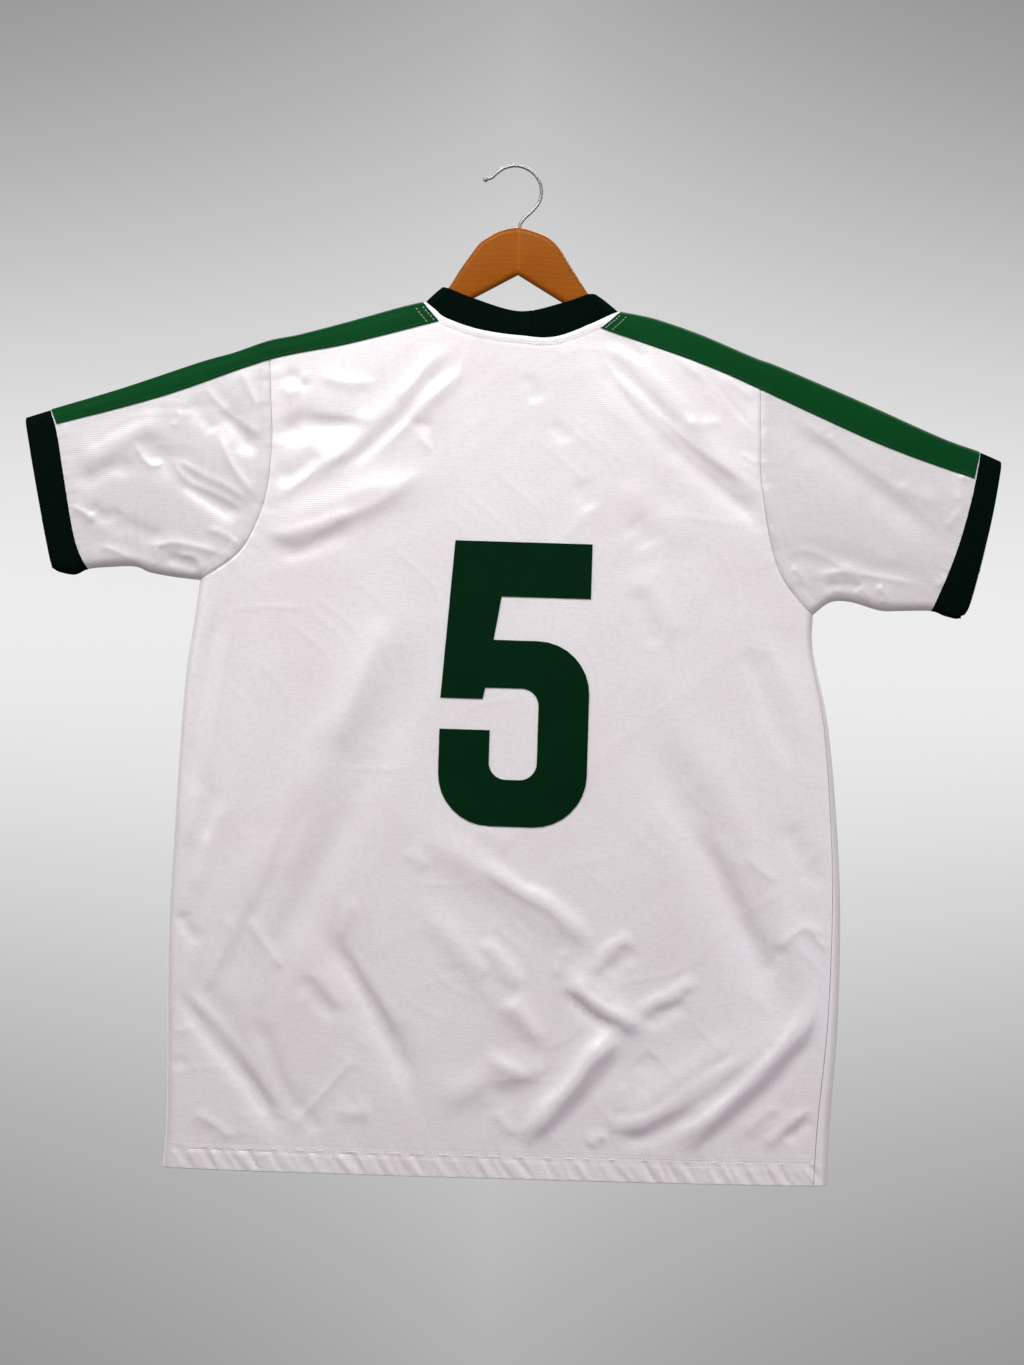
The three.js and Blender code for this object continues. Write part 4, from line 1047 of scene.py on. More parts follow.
def wood_finish(name, colour):
    """Varnished hardwood: the grain follows each arm, and the halves meet in a fine glue line."""
    finish = Finish(name, Roughness=0.42, Specular_IOR_Level=0.1, Coat_Weight=0.06, Coat_Roughness=0.2)
    parts = finish.add("ShaderNodeSeparateXYZ", inputs={"Vector": finish.place})
    from_joint = finish.maths("SUBTRACT", parts.outputs["X"], JOINT_X * MM)
    outward = finish.maths("ABSOLUTE", from_joint)
    folded = finish.add(
        "ShaderNodeCombineXYZ",
        inputs={"X": outward, "Y": parts.outputs["Y"], "Z": parts.outputs["Z"]},
    ).outputs["Vector"]
    turned = finish.add(
        "ShaderNodeMapping",
        inputs={"Vector": folded, "Rotation": (0, math.radians(-21), 0), "Scale": (0.12, 1, 1)},
    ).outputs["Vector"]
    grain = finish.lines(0.0042, "Z", distortion=5.0, where=turned)
    pores = finish.noise(700, 3.0, turned)
    broad = finish.noise(20, 3.0, turned)
    base = finish.mix(finish.ranged(grain, 0.0, 0.4), colour, shade(colour, 0.7))
    base = finish.mix(finish.ranged(broad, 0.0, 0.6, 0.3, 0.75), base, shade(colour, 1.35))
    base = finish.mix(finish.ranged(pores, 0.0, 0.5, 0.58, 0.75), base, shade(colour, 0.45))
    joint = finish.ranged(outward, 0.5, 0.0, 0.0004, 0.0022)
    base = finish.mix(joint, base, shade(colour, 1.5))
    return finish.set(Base_Color=base, Normal=finish.bump(pores, 0.05, 0.0002))


def steel_finish(name, colour):
    """Drawn and polished wire with faint lengthwise marks."""
    finish = Finish(name, Metallic=1.0, Roughness=0.36)
    marks = finish.noise(500, 2.0)
    base = finish.mix(finish.ranged(marks, 0.0, 1.0), shade(colour, 0.86), shade(colour, 1.08))
    rough = finish.ranged(finish.noise(90, 3.0), 0.3, 0.42)
    return finish.set(Base_Color=base, Roughness=rough)


# The sleeves take the body's white cloth, darkened by this factor: painted shade, as they slope away from
# the light
SLEEVE_PAINTED_SHADE = 0.86


def finish_named(name):
    """The finish of that name, made when it is first asked for."""
    made = bpy.data.materials.get(name)
    if made:
        return made
    colours = bpy.context.scene.jersey_colours
    # The sleeves' colours are the body's, darkened: painted shade
    sleeve, sleeve_shade = shade(colours.white, SLEEVE_PAINTED_SHADE), shade(colours.white_shade, SLEEVE_PAINTED_SHADE)
    makers = {
        "white_polyester": lambda: cloth_finish(name, colours.white, colours.white_shade, BODY_KNIT),
        "white_sleeve_polyester": lambda: cloth_finish(name, sleeve, sleeve_shade, SLEEVE_KNIT),
        "green_tape": lambda: cloth_finish(name, colours.green, shade(colours.green, 0.75), TAPE_KNIT),
        "dark_rib_knit": lambda: rib_finish(name, colours.rib),
        "number_film": lambda: print_finish(name, colours.number),
        "honey_varnish": lambda: wood_finish(name, colours.wood),
        "polished_wire": lambda: steel_finish(name, colours.steel),
        # The white thread is darkened to grey: painted shade of the holes the stitches sit in
        "white_thread": lambda: thread_finish(name, shade(colours.white_shade, 0.7)),
        "green_thread": lambda: thread_finish(name, colours.green),
    }
    return makers[name]()


def thread_finish(name, colour):
    """Twisted sewing thread with a soft shine."""
    finish = Finish(name, Roughness=0.5, Sheen_Weight=0.15)
    twist = finish.lines(0.0005, "DIAGONAL")
    base = finish.mix(finish.ranged(twist, 0.0, 1.0), shade(colour, 0.82), shade(colour, 1.05))
    return finish.set(Base_Color=base, Normal=finish.bump(twist, 0.3, 0.0002))


# Sizes and colours that a user would change

def length_setting(name, description, default, low, high):
    """A length between a low and a high one."""
    return FloatProperty(
        name=name, description=description, default=default, min=low, max=high,
        unit="LENGTH", subtype="DISTANCE")


def colour_setting(name, description, default):
    """A colour."""
    return FloatVectorProperty(
        name=name, description=description, default=default, min=0, max=1, subtype="COLOR")


def power_setting(name, description, default):
    """The power of a light."""
    return FloatProperty(name=name, description=description, default=default, min=0, max=500, unit="POWER")


class JerseyClothSettings(bpy.types.PropertyGroup):
    """Sizes of the cloth and its sewing."""
    thickness: length_setting(
        "Cloth thickness", "Thickness of the knitted cloth", 0.9 * MM, 0.2 * MM, 2 * MM)
    crease_strength: FloatProperty(
        name="Crease strength", description="Height of the fine creases, as a share of their own",
        default=1.15, min=0.0, max=2.0, subtype="FACTOR",
    )
    panel_pitch: length_setting(
        "Back pitch", "Distance between the rows and columns of the back panel", 2.2 * MM, 2 * MM, 12 * MM)
    front_pitch: length_setting(
        "Front pitch", "Distance between the rows and columns of the front panel", 2.8 * MM, 2 * MM, 12 * MM)
    sleeve_pitch: length_setting(
        "Sleeve pitch", "Distance between the rings of the sleeves", 1.7 * MM, 1 * MM, 12 * MM)
    rib_pitch: length_setting(
        "Rib pitch", "Distance between the ribs of the neckband and cuffs", 1.7 * MM, 1 * MM, 5 * MM)
    rib_thickness: length_setting(
        "Rib thickness", "Thickness of the doubled ribbed knit", 2.0 * MM, 1 * MM, 3 * MM)
    stitch_pitch: length_setting(
        "Stitch pitch", "Distance between the starts of neighbouring stitches", 3.1 * MM, 1.5 * MM, 6 * MM)


class JerseyColours(bpy.types.PropertyGroup):
    """Colours of the finishes."""
    white: colour_setting("White cloth", "Colour of the body and sleeves", (0.83, 0.81, 0.82))
    white_shade: colour_setting(
        "White cloth, shaded", "Colour of the cloth's duller patches", (0.77, 0.73, 0.75))
    green: colour_setting("Band green", "Colour of the shoulder bands", (0.0002, 0.052, 0.0105))
    number: colour_setting("Number green", "Colour of the back number", (0.0001, 0.018, 0.0046))
    rib: colour_setting("Rib", "Colour of the neckband and cuffs", (0.0004, 0.0042, 0.0024))
    wood: colour_setting("Wood", "Colour of the varnished hanger", (0.275, 0.074, 0.002))
    steel: colour_setting("Wire", "Colour of the polished hook", (0.34, 0.325, 0.315))
    backdrop: colour_setting("Backdrop", "Colour of the floor and the seamless backdrop", (0.84, 0.84, 0.84))


class JerseyStageSettings(bpy.types.PropertyGroup):
    """Camera, light and floor."""
    lens: FloatProperty(
        name="Lens", description="Focal length of the camera",
        default=71.9, min=20, max=200, unit="CAMERA",
    )
    camera_distance: length_setting(
        "Camera distance", "Distance from the camera to the hook's plane", 2.4, 1, 10)
    camera_roll: FloatProperty(
        name="Camera roll", description="How far the camera is turned about its own line of sight",
        default=math.radians(1.75), min=-0.5, max=0.5, unit="ROTATION", subtype="ANGLE",
    )
    floor_height: length_setting("Floor height", "Height of the floor below the hook", -2.4, -4, -0.95)
    backdrop_radius: length_setting(
        "Backdrop radius", "Distance from the shirt to the seamless backdrop", 5.0, 4, 20)
    key_power: power_setting("Strip light", "Power of the long light above the shirt", 26)
    fill_power: power_setting("Fill light", "Power of the soft light at the right", 14.5)
    side_power: power_setting("Side light", "Power of the light that grazes the cloth from the left", 4)


# Pieces

def in_mm(settings, name):
    """One of the cloth's sizes, in millimetres."""
    return getattr(settings, name) / MM


class JERSEY_OT_back_panel(bpy.types.Operator):
    """Back panel, from the shoulders to its turned hem"""
    bl_idname = "jersey.back_panel"
    bl_label = "Back Panel"

    def execute(self, context):
        cloth = context.scene.jersey_cloth
        places, _, _ = panel_grid(BACK, in_mm(cloth, "panel_pitch"))
        grid = on_cloth(BACK, places)
        thickness = hem_thickness(BACK, places, in_mm(cloth, "thickness"))
        material = finish_named("white_polyester")
        panel = shell("back_panel_cloth", grid, thickness, material, roll=ROLL, step=INNER_STEP)
        ride_and_slot(panel, "white_cloth", "back_panel")
        return {"FINISHED"}


def hem_thickness(face, places, thickness):
    """The cloth's thickness over a grid, doubled in the turned hem."""
    up = hem_line_height(face, places.reshape(-1, 2)).reshape(places.shape[:-1])
    doubled = 1 / (1 + np.exp((up - HEM_FOLD) / 0.8))
    return thickness * (1 + doubled)


class JERSEY_OT_front_panel(bpy.types.Operator):
    """Front panel, which wraps round the right side to its seam on the back"""
    bl_idname = "jersey.front_panel"
    bl_label = "Front Panel"

    def execute(self, context):
        cloth = context.scene.jersey_cloth
        places, armhole_rows, wrap = panel_grid(FRONT, in_mm(cloth, "front_pitch"))
        edge = places[:, -1]
        turn = 1 - np.cos(np.linspace(0, math.pi / 2, 9))[1:]
        strip = edge[:armhole_rows, None] + turn[:, None] * np.array([ARMHOLE_STRIP, 0])
        reach = wrap[:, None] * turn
        reach[:, -1] -= WRAP_GAP / 2
        wrapped = edge[armhole_rows:, None] - np.stack([reach, 0 * reach], axis=-1)
        main = on_cloth(FRONT, places)
        main[armhole_rows:, -1, 1] = 0
        above = on_cloth(FRONT, strip)
        below = on_cloth(BACK, wrapped)
        grid = np.concatenate([main, np.concatenate([above, below])], axis=1)
        plane = np.concatenate([places, np.concatenate([strip, wrapped])], axis=1)
        thickness = hem_thickness(FRONT, plane, in_mm(cloth, "thickness"))
        material = finish_named("white_polyester")
        panel = shell("front_panel_cloth", grid, thickness, material, roll=ROLL, step=INNER_STEP)
        ride_and_slot(panel, "white_cloth", "front_panel")
        return {"FINISHED"}


class JERSEY_OT_sleeves(bpy.types.Operator):
    """Both set-in sleeves"""
    bl_idname = "jersey.sleeves"
    bl_label = "Sleeves"

    def execute(self, context):
        cloth = context.scene.jersey_cloth
        for side in SIDES:
            grid = sleeve_grid(side, in_mm(cloth, "sleeve_pitch"))
            # The sleeves' material is the body's white, darkened: painted shade
            material = finish_named("white_sleeve_polyester")
            thickness = in_mm(cloth, "thickness")
            sleeve = shell(f"sleeve_{side}_cloth", grid, thickness, material, ring=True)
            ride_and_slot(sleeve, "white_cloth", f"sleeve_{side}")
        return {"FINISHED"}


# Places round each rib and how far it stands out
RIB_STEPS = 4
RIB_RELIEF = 0.22


def ribbed(ring, count, relief):
    """A ring of rows of places, spaced evenly round it and raised into ribs."""
    closed = np.concatenate([ring, ring[:, :1]], axis=1)
    middle = closed[len(closed) // 2]
    passed = lengths_of(middle)
    wanted = np.linspace(0, passed[-1], count, endpoint=False)
    even = np.stack(
        [[np.interp(wanted, passed, row[:, axis]) for row in closed] for axis in range(3)], axis=-1)
    out, _ = outward_of(even, True)
    wave = np.cos(np.arange(count) * 2 * math.pi / RIB_STEPS)
    return even + out * (relief * wave)[None, :, None]


def rolled_rows(length, thickness, count):
    """Shares of a band's width for its rows, closer together at its rounded edge."""
    radius = thickness / 2
    flat = np.linspace(0, 1 - radius / length, count)
    return np.concatenate([flat[:-1], 1 - radius * (1 - np.sin(ROLL)) / length])


class JERSEY_OT_cuffs(bpy.types.Operator):
    """Both ribbed cuffs"""
    bl_idname = "jersey.cuffs"
    bl_label = "Cuffs"

    def execute(self, context):
        cloth = context.scene.jersey_cloth
        thickness = in_mm(cloth, "rib_thickness")
        for side, lines in SIDES.items():
            steps = edge_steps(CUFF_WIDTH, 1.5)
            shares = rolled_rows(CUFF_HEIGHT, thickness, 14)
            seam, edge = bend_of(lines["cuff_seam"], steps), bend_of(lines["cuff_edge"], steps)
            bends = [mixed(seam, edge, share) for share in shares]
            trims = [OUTWARD[side] * SEAM_GAP / 2, *[0] * (len(shares) - 1)]
            tops, lows = along(lines["cuff_top"], shares), along(lines["cuff_low"], shares)
            ring = ring_grid(tops, lows, bends, steps, trims)
            count = RIB_STEPS * round(CUFF_ROUND / in_mm(cloth, "rib_pitch"))
            grid = ribbed(ring, count, RIB_RELIEF)
            material = finish_named("dark_rib_knit")
            cuff = shell(f"cuff_{side}_rib", grid, thickness, material, ring=True, roll=ROLL)
            ride_and_slot(cuff, "dark_rib", f"cuff_{side}")
        return {"FINISHED"}


def collar_ring(rows):
    """The neckband's places: from the neck seam up to its top line, round the back and the front."""
    fine = edge_steps(NECKBAND_WIDTH, 1.0)
    parts = []
    for face, seam, top in ((BACK, "back", "back_top"), (FRONT, "front", "front_top")):
        low_plane = trimmed(along(NECK[seam], fine), SEAM_GAP / 2)
        low = on_cloth(face, low_plane)
        top_plane = along(NECK[top], fine)
        ends = [np.linalg.norm(top_plane - end, axis=1) for end in (top_plane[0], top_plane[-1])]
        near = np.minimum(np.minimum(*ends), COLLAR_TOP_RADIUS) / COLLAR_TOP_RADIUS
        depth = face * COLLAR_TOP_DEPTH * np.sqrt(1 - (1 - near) ** 2)
        high = np.stack([top_plane[:, 0], depth, top_plane[:, 1]], axis=-1)
        low[[0, -1], 1] = 0
        grid = low[None] + (high - low)[None] * rows[:, None, None]
        parts.append(grid)
    back, front = parts
    return np.concatenate([back, front[:, 1:-1][:, ::-1]], axis=1)


# The neckband's swell along its middle, its dip at the neck seam and the join at the centre back
NECKBAND_SWELL = 0.9
NECKBAND_DIP = 0.8
NECKBAND_DIP_WIDTH = 2
# The swell fades where the neckband turns over, this near to the plane Y = 0
NECKBAND_TURN = 5
COLLAR_JOINT_X = 19.8
COLLAR_JOINT_DEPTH = 0.9
COLLAR_JOINT_WIDTH = 0.8


class JERSEY_OT_neckband(bpy.types.Operator):
    """Ribbed neckband"""
    bl_idname = "jersey.neckband"
    bl_label = "Neckband"

    def execute(self, context):
        cloth = context.scene.jersey_cloth
        thickness = in_mm(cloth, "rib_thickness")
        rows = rolled_rows(NECKBAND_HEIGHT, thickness, 12)
        ring = collar_ring(rows)
        count = RIB_STEPS * round(NECKBAND_ROUND / in_mm(cloth, "rib_pitch"))
        grid = ribbed(ring, count, RIB_RELIEF)
        out, _ = outward_of(grid, True)
        dip = np.exp(-(rows * NECKBAND_HEIGHT / NECKBAND_DIP_WIDTH) ** 2)
        swell = NECKBAND_SWELL * np.sin(math.pi * rows) - NECKBAND_DIP * dip
        off_turn = np.clip(np.abs(grid[..., 1:2]) / NECKBAND_TURN, 0, 1)
        grid = grid + out * swell[:, None, None] * off_turn
        joint = np.exp(-(((grid[..., 0] - COLLAR_JOINT_X) / COLLAR_JOINT_WIDTH) ** 2)) * (grid[..., 1] < 0)
        grid = grid - out * (COLLAR_JOINT_DEPTH * joint)[..., None]
        band = shell("neckband_rib", grid, thickness, finish_named("dark_rib_knit"), ring=True, roll=ROLL)
        ride_and_slot(band, "dark_rib", "neckband")
        return {"FINISHED"}


BAND_LIFT = 0.85
BAND_THICKNESS = 0.6
BAND_STATIONS = 92
# The width of cloth on each side of the ridge that a band's columns divide
BAND_HALF_WIDTH = 24


def band_lines(lines):
    """Stations of a shoulder band: on the ridge, at its edge on the back and at its edge on the front."""
    on_shoulder, on_sleeve = BAND_STATIONS // 2, BAND_STATIONS // 2 + BAND_STATIONS // 4
    shoulder = along(lines["shoulder"], np.linspace(0.02, 1, on_shoulder))
    sleeve = along(lines["sleeve_top"], np.linspace(0, 0.996, on_sleeve))
    ridge = np.concatenate([shoulder, sleeve[1:]])
    first, last = ridge[0], ridge[-1]
    shares = np.linalg.norm(ridge - first, axis=1) / np.linalg.norm(last - first)
    back = along(lines["band_edge"], shares)
    width = np.linalg.norm(back - ridge, axis=1)[:, None]
    front = mixed(ridge, back, (BAND_WIDTH - width) / width)
    front[0] = ridge[0] - np.array([0, BAND_WIDTH - width[0, 0]])
    return ridge, back, front


def band_grid(lines):
    """A shoulder band's places: across it from the back edge over the ridge to the front edge."""
    ridge, back, front = band_lines(lines)
    shares = edge_steps(BAND_HALF_WIDTH, 2.2, end=False)[1:]
    down_back = on_cloth(BACK, mixed(ridge[:, None], back[:, None], shares[::-1][None, :, None]))
    down_front = on_cloth(FRONT, mixed(ridge[:, None], front[:, None], shares[None, :, None]))
    top = np.stack([ridge[:, 0], 0 * ridge[:, 0], ridge[:, 1]], axis=-1)[:, None]
    return np.concatenate([down_back, top, down_front], axis=1)


class JERSEY_OT_shoulder_bands(bpy.types.Operator):
    """Both plain bands over the shoulders, from the neck to the cuffs"""
    bl_idname = "jersey.shoulder_bands"
    bl_label = "Shoulder Bands"

    def execute(self, context):
        for side, lines in SIDES.items():
            grid = band_grid(lines)
            material = finish_named("green_tape")
            band = shell(f"shoulder_band_{side}_tape", grid, BAND_THICKNESS, material, lift=BAND_LIFT)
            ride_and_slot(band, "green_band", f"shoulder_band_{side}")
        return {"FINISHED"}


# Back number

class Corner(NamedTuple):
    """A corner of the plain block figure: its place from the lower left, and its radius."""
    x: float
    z: float
    radius: float


NUMBER_LEFT = -51
NUMBER_BOTTOM = -579.5
NUMBER_CORNERS = [
    Corner(9, 249, 0), Corner(129, 249, 0), Corner(129, 201, 0), Corner(51, 201, 0),
    Corner(45, 163, 0), Corner(130, 163, 46), Corner(130, 0, 46), Corner(0, 0, 46),
    Corner(0, 84, 0), Corner(44, 84, 0), Corner(44, 41, 15), Corner(86, 41, 15),
    Corner(86, 121, 15), Corner(39, 121, 0), Corner(37, 111, 0), Corner(0, 111, 0),
]
CORNER_STEPS = 9
NUMBER_PITCH = 3.0
NUMBER_LIFT = 0.8
NUMBER_THICKNESS = 0.3


def rounded_figure(corners):
    """A closed figure whose corners are rounded, each to its own radius."""
    places = [np.array(corner[:2], float) for corner in corners]
    figure = []
    for number, (_, _, radius) in enumerate(corners):
        corner = places[number]
        if radius == 0:
            figure.append(corner)
            continue
        back = places[number - 1] - corner
        ahead = places[(number + 1) % len(corners)] - corner
        back /= np.linalg.norm(back)
        ahead /= np.linalg.norm(ahead)
        for turn in np.linspace(0, math.pi / 2, CORNER_STEPS):
            figure.append(corner + radius * ((1 - math.sin(turn)) * back + (1 - math.cos(turn)) * ahead))
    return np.array(figure)


def inside_figure(points, figure):
    """Which points lie inside a closed figure."""
    x, z = points[:, 0], points[:, 1]
    inside = np.zeros(len(points), bool)
    for (ax, az), (bx, bz) in zip(figure, np.roll(figure, -1, axis=0)):
        if az == bz:
            continue
        crosses = (az > z) != (bz > z)
        inside ^= crosses & (x < ax + (bx - ax) * (z - az) / (bz - az))
    return inside


def number_plane():
    """The number's places in the outline's plane and its triangles."""
    corners = rounded_figure(NUMBER_CORNERS)
    border = []
    for start, end in zip(corners, np.roll(corners, -1, axis=0)):
        count = max(1, round(np.linalg.norm(end - start) / NUMBER_PITCH))
        border += [mixed(start, end, k / count) for k in range(count)]
    border = np.array(border)
    width, height = corners.max(0)
    across, up = np.arange(1.5, width, NUMBER_PITCH), np.arange(1.5, height, NUMBER_PITCH)
    lattice = np.stack(np.meshgrid(across, up), axis=-1).reshape(-1, 2)
    lattice = lattice[inside_figure(lattice, corners)]
    gap, _, _ = nearest_on(np.vstack([border, border[:1]]), lattice)
    lattice = lattice[gap > 0.4 * NUMBER_PITCH]
    places = [Vector(place) for place in np.vstack([border, lattice])]
    made = delaunay_2d_cdt(places, [], [list(range(len(border)))], 1, 1e-5)
    plane = np.array([tuple(place) for place in made[0]]) + np.array([NUMBER_LEFT, NUMBER_BOTTOM])
    return plane, [tuple(face) for face in made[2]]


def surface_frame(face, plane, step=1.0):
    """The places on the cloth and the unit directions along X, up the cloth and out of it."""
    centre = on_cloth(face, plane)
    across = on_cloth(face, plane + np.array([step, 0])) - on_cloth(face, plane - np.array([step, 0]))
    upward = on_cloth(face, plane + np.array([0, step])) - on_cloth(face, plane - np.array([0, step]))
    out = np.cross(across, upward)
    out *= np.where(out[:, 1:2] * face < 0, -1, 1)
    frame_vectors = [across, upward, out]
    return [centre] + [vector / np.linalg.norm(vector, axis=1, keepdims=True) for vector in frame_vectors]


class JERSEY_OT_back_number(bpy.types.Operator):
    """Plain block number on the back, a thin film that follows the cloth"""
    bl_idname = "jersey.back_number"
    bl_label = "Back Number"

    def execute(self, context):
        plane, triangles = number_plane()
        centre, _, _, out = surface_frame(BACK, plane)
        outer = centre + out * NUMBER_LIFT
        inner = centre + out * (NUMBER_LIFT - NUMBER_THICKNESS)
        under = len(plane)
        a, b, c = (outer[list(corner)] for corner in zip(*triangles))
        facing_back = np.sum(np.cross(b - a, c - a)[:, 1]) < 0
        tops = triangles if facing_back else [face[::-1] for face in triangles]
        edges = {}
        for face in tops:
            for start, end in zip(face, face[1:] + face[:1]):
                edges[(start, end)] = (end, start) not in edges
                if (end, start) in edges:
                    edges[(end, start)] = False
        rim = [(end, start, start + under, end + under) for (start, end), alone in edges.items() if alone]
        below = [tuple(corner + under for corner in face[::-1]) for face in tops]
        places = np.concatenate([outer, inner])
        number = new_object("back_number_film", places, tops + below + rim, finish_named("number_film"))
        ride_and_slot(number, "green_band")
        return {"FINISHED"}


# Stitching

# A stitch's share of the pitch, its width, and its height above what it is sewn on
STITCH_SHARE = 0.72
STITCH_WIDTH = 0.62
STITCH_LIFT = 0.12
# Rings of one stitch: place along it and share of its full width
STITCH_RINGS = [(-1, 0.3), (-0.6, 1), (0.6, 1), (1, 0.3)]


class StitchRow(NamedTuple):
    """A row of stitches: its side of the shirt, its line in the outline's plane and its lift."""
    face: int
    line: np.ndarray
    lift: float


def stitched(name, rows, pitch, material):
    """One mesh of small tapered stitches along some rows."""
    places = []
    for row in rows:
        total = lengths_of(row.line)[-1]
        count = max(2, round(total / pitch))
        middle = along(row.line, (np.arange(count) + 0.5) / count)
        ahead = along(row.line, np.clip((np.arange(count) + 0.7) / count, 0, 1))
        run = ahead - middle
        run /= np.linalg.norm(run, axis=1, keepdims=True)
        centre, across, upward, out = surface_frame(row.face, middle)
        forward = across * run[:, :1] + upward * run[:, 1:]
        forward /= np.linalg.norm(forward, axis=1, keepdims=True)
        aside = np.cross(out, forward)
        for place, share in STITCH_RINGS:
            ring_centre = centre + forward * (place * pitch * STITCH_SHARE / 2) + out * row.lift
            for turn in range(4):
                angle = math.pi / 2 * turn
                reach = aside * math.cos(angle) + out * math.sin(angle)
                places.append(ring_centre + reach * (share * STITCH_WIDTH / 2))
    return stitch_mesh(name, rows, places, material)


def stitch_mesh(name, rows, rings, material):
    """Joins the rings of all stitches into one mesh."""
    corners = 4 * len(STITCH_RINGS)
    vertices, faces = [], []
    pattern = []
    for ring in range(len(STITCH_RINGS) - 1):
        for turn in range(4):
            after = (turn + 1) % 4
            pattern.append((4 * ring + turn, 4 * ring + after, 4 * ring + 4 + after, 4 * ring + 4 + turn))
    pattern += [(3, 2, 1, 0), tuple(range(corners - 4, corners))]
    pattern = np.array(pattern)
    start = 0
    for number in range(len(rows)):
        block = np.stack(rings[number * corners:(number + 1) * corners], axis=1)
        vertices.append(block.reshape(-1, 3))
        offsets = start + corners * np.arange(len(block))
        faces.append((pattern[None] + offsets[:, None, None]).reshape(-1, 4))
        start += corners * len(block)
    return new_object(name, np.vstack(vertices), np.vstack(faces), material, sharp=80)


def hem_rows(face):
    """The hem's row of stitches on one side."""
    share = 1 - HEM_STITCHES / BODY_LENGTH
    start, end = along(LEFT["side"], share), along(RIGHT["side"], share)
    start, end = start + np.array([3, 0]), end - np.array([WRAP_HEM + 2 if face == BACK else 3, 0])
    across = np.linspace(0, 1, 200)
    line = mixed(start, end, across[:, None])
    if face == FRONT:
        line[:, 1] -= FRONT_HEM_DROP * share ** 4 * np.sin(math.pi * across)
    return [StitchRow(face, line, STITCH_LIFT)]


def neck_rows():
    """The row of stitches beside the neck seam, on the back and on the front."""
    rows = []
    for face, name in ((BACK, "back"), (FRONT, "front")):
        line = trimmed(along(NECK[name], np.linspace(0.07, 0.93, 160)), -NECK_STITCH_GROOVE.distance)
        rows.append(StitchRow(face, line, STITCH_LIFT))
    return rows


def band_end_rows():
    """Two short rows of white stitches across each band's end beside the neckband."""
    rows = []
    for lines in SIDES.values():
        ridge, back, front = band_lines(lines)
        for station in (1, 3):
            for face, edge in ((BACK, back), (FRONT, front)):
                line = mixed(ridge[station], edge[station], np.linspace(0.2, 0.94, 20)[:, None])
                rows.append(StitchRow(face, line, BAND_LIFT + STITCH_LIFT))
    return rows


def band_edge_rows():
    """A row of green stitches just inside each long edge of the shoulder bands."""
    rows = []
    for lines in SIDES.values():
        ridge, back, front = band_lines(lines)
        for face, edge in ((BACK, back), (FRONT, front)):
            width = np.linalg.norm(edge - ridge, axis=1)[:, None]
            rows.append(StitchRow(face, mixed(ridge, edge, 1 - 2.2 / width)[2:-1], BAND_LIFT + 0.1))
    return rows


class JERSEY_OT_stitching(bpy.types.Operator):
    """Sewing that shows: the hem, the neck seam and the shoulder bands"""
    bl_idname = "jersey.stitching"
    bl_label = "Stitching"

    def execute(self, context):
        pitch = in_mm(context.scene.jersey_cloth, "stitch_pitch")
        groups = {
            # The white stitches' grey is painted shade of their holes
            "back_hem_stitches": (hem_rows(BACK), "white_thread", "white_cloth"),
            "front_hem_stitches": (hem_rows(FRONT), "white_thread", "white_cloth"),
            "neck_stitches": (neck_rows(), "white_thread", "white_cloth"),
            "band_end_stitches": (band_end_rows(), "white_thread", "white_cloth"),
            "band_edge_stitches": (band_edge_rows(), "green_thread", "green_band"),
        }
        for name, (rows, thread, slot) in groups.items():
            made = stitched(name, rows, pitch, finish_named(thread))
            ride_and_slot(made, slot)
        return {"FINISHED"}


# Hanger

WOOD_ROUNDING = 5
WOOD_HALF_FLAT = 1
WOOD_SEAT = 2.5
ARM_HEIGHT = 21
JOINT_X = 5.6
WOOD_CROWN = [
    (-60, -113.2), (-54, -106.2), (-45.6, -91.9), (-37.2, -79.3), (-28.7, -67.6),
    (-20.1, -61.2), (-11.5, -56.5), (4.3, -53), (23.8, -57.6), (34.5, -63),
    (41.8, -70.7), (49.2, -82), (58.4, -95.8), (67.6, -108.7), (74.7, -116.4),
]
WOOD_LEFT_NECK = [(-80, -128), (-74, -126.4), (-67, -121)]
WOOD_RIGHT_NECK = [(81, -122), (88, -127), (96, -130.4)]
WOOD_CROTCH = (5.5, -94.7)
WOOD_UNDER_LEFT = [(-32.5, -116.2), (-85, -148)]
WOOD_UNDER_RIGHT = [(100, -151), (45.9, -118.2)]
ARM_REACH = {"left": -212, "right": 222}
ARM_START = {"left": -90, "right": 104}
TIP_LENGTH = 6
# The rounded end of an arm: shares of the tip's length inward and of the arm's height down
TIP_ROUND = [(0.25, 0.18), (0.06, 0.3), (0, 0.45), (0.04, 0.62), (0.15, 0.75), (0.5, 0.92), (1, 1)]


def seated_arm(lines, start, end):
    """The top of an arm, just under the cloth of the shoulder."""
    x = np.linspace(start, end, 24)
    ridge = lines["ridge"][lines["ridge"][:, 0].argsort()]
    return np.stack([x, np.interp(x, ridge[:, 0], ridge[:, 1]) - WOOD_SEAT], axis=1)


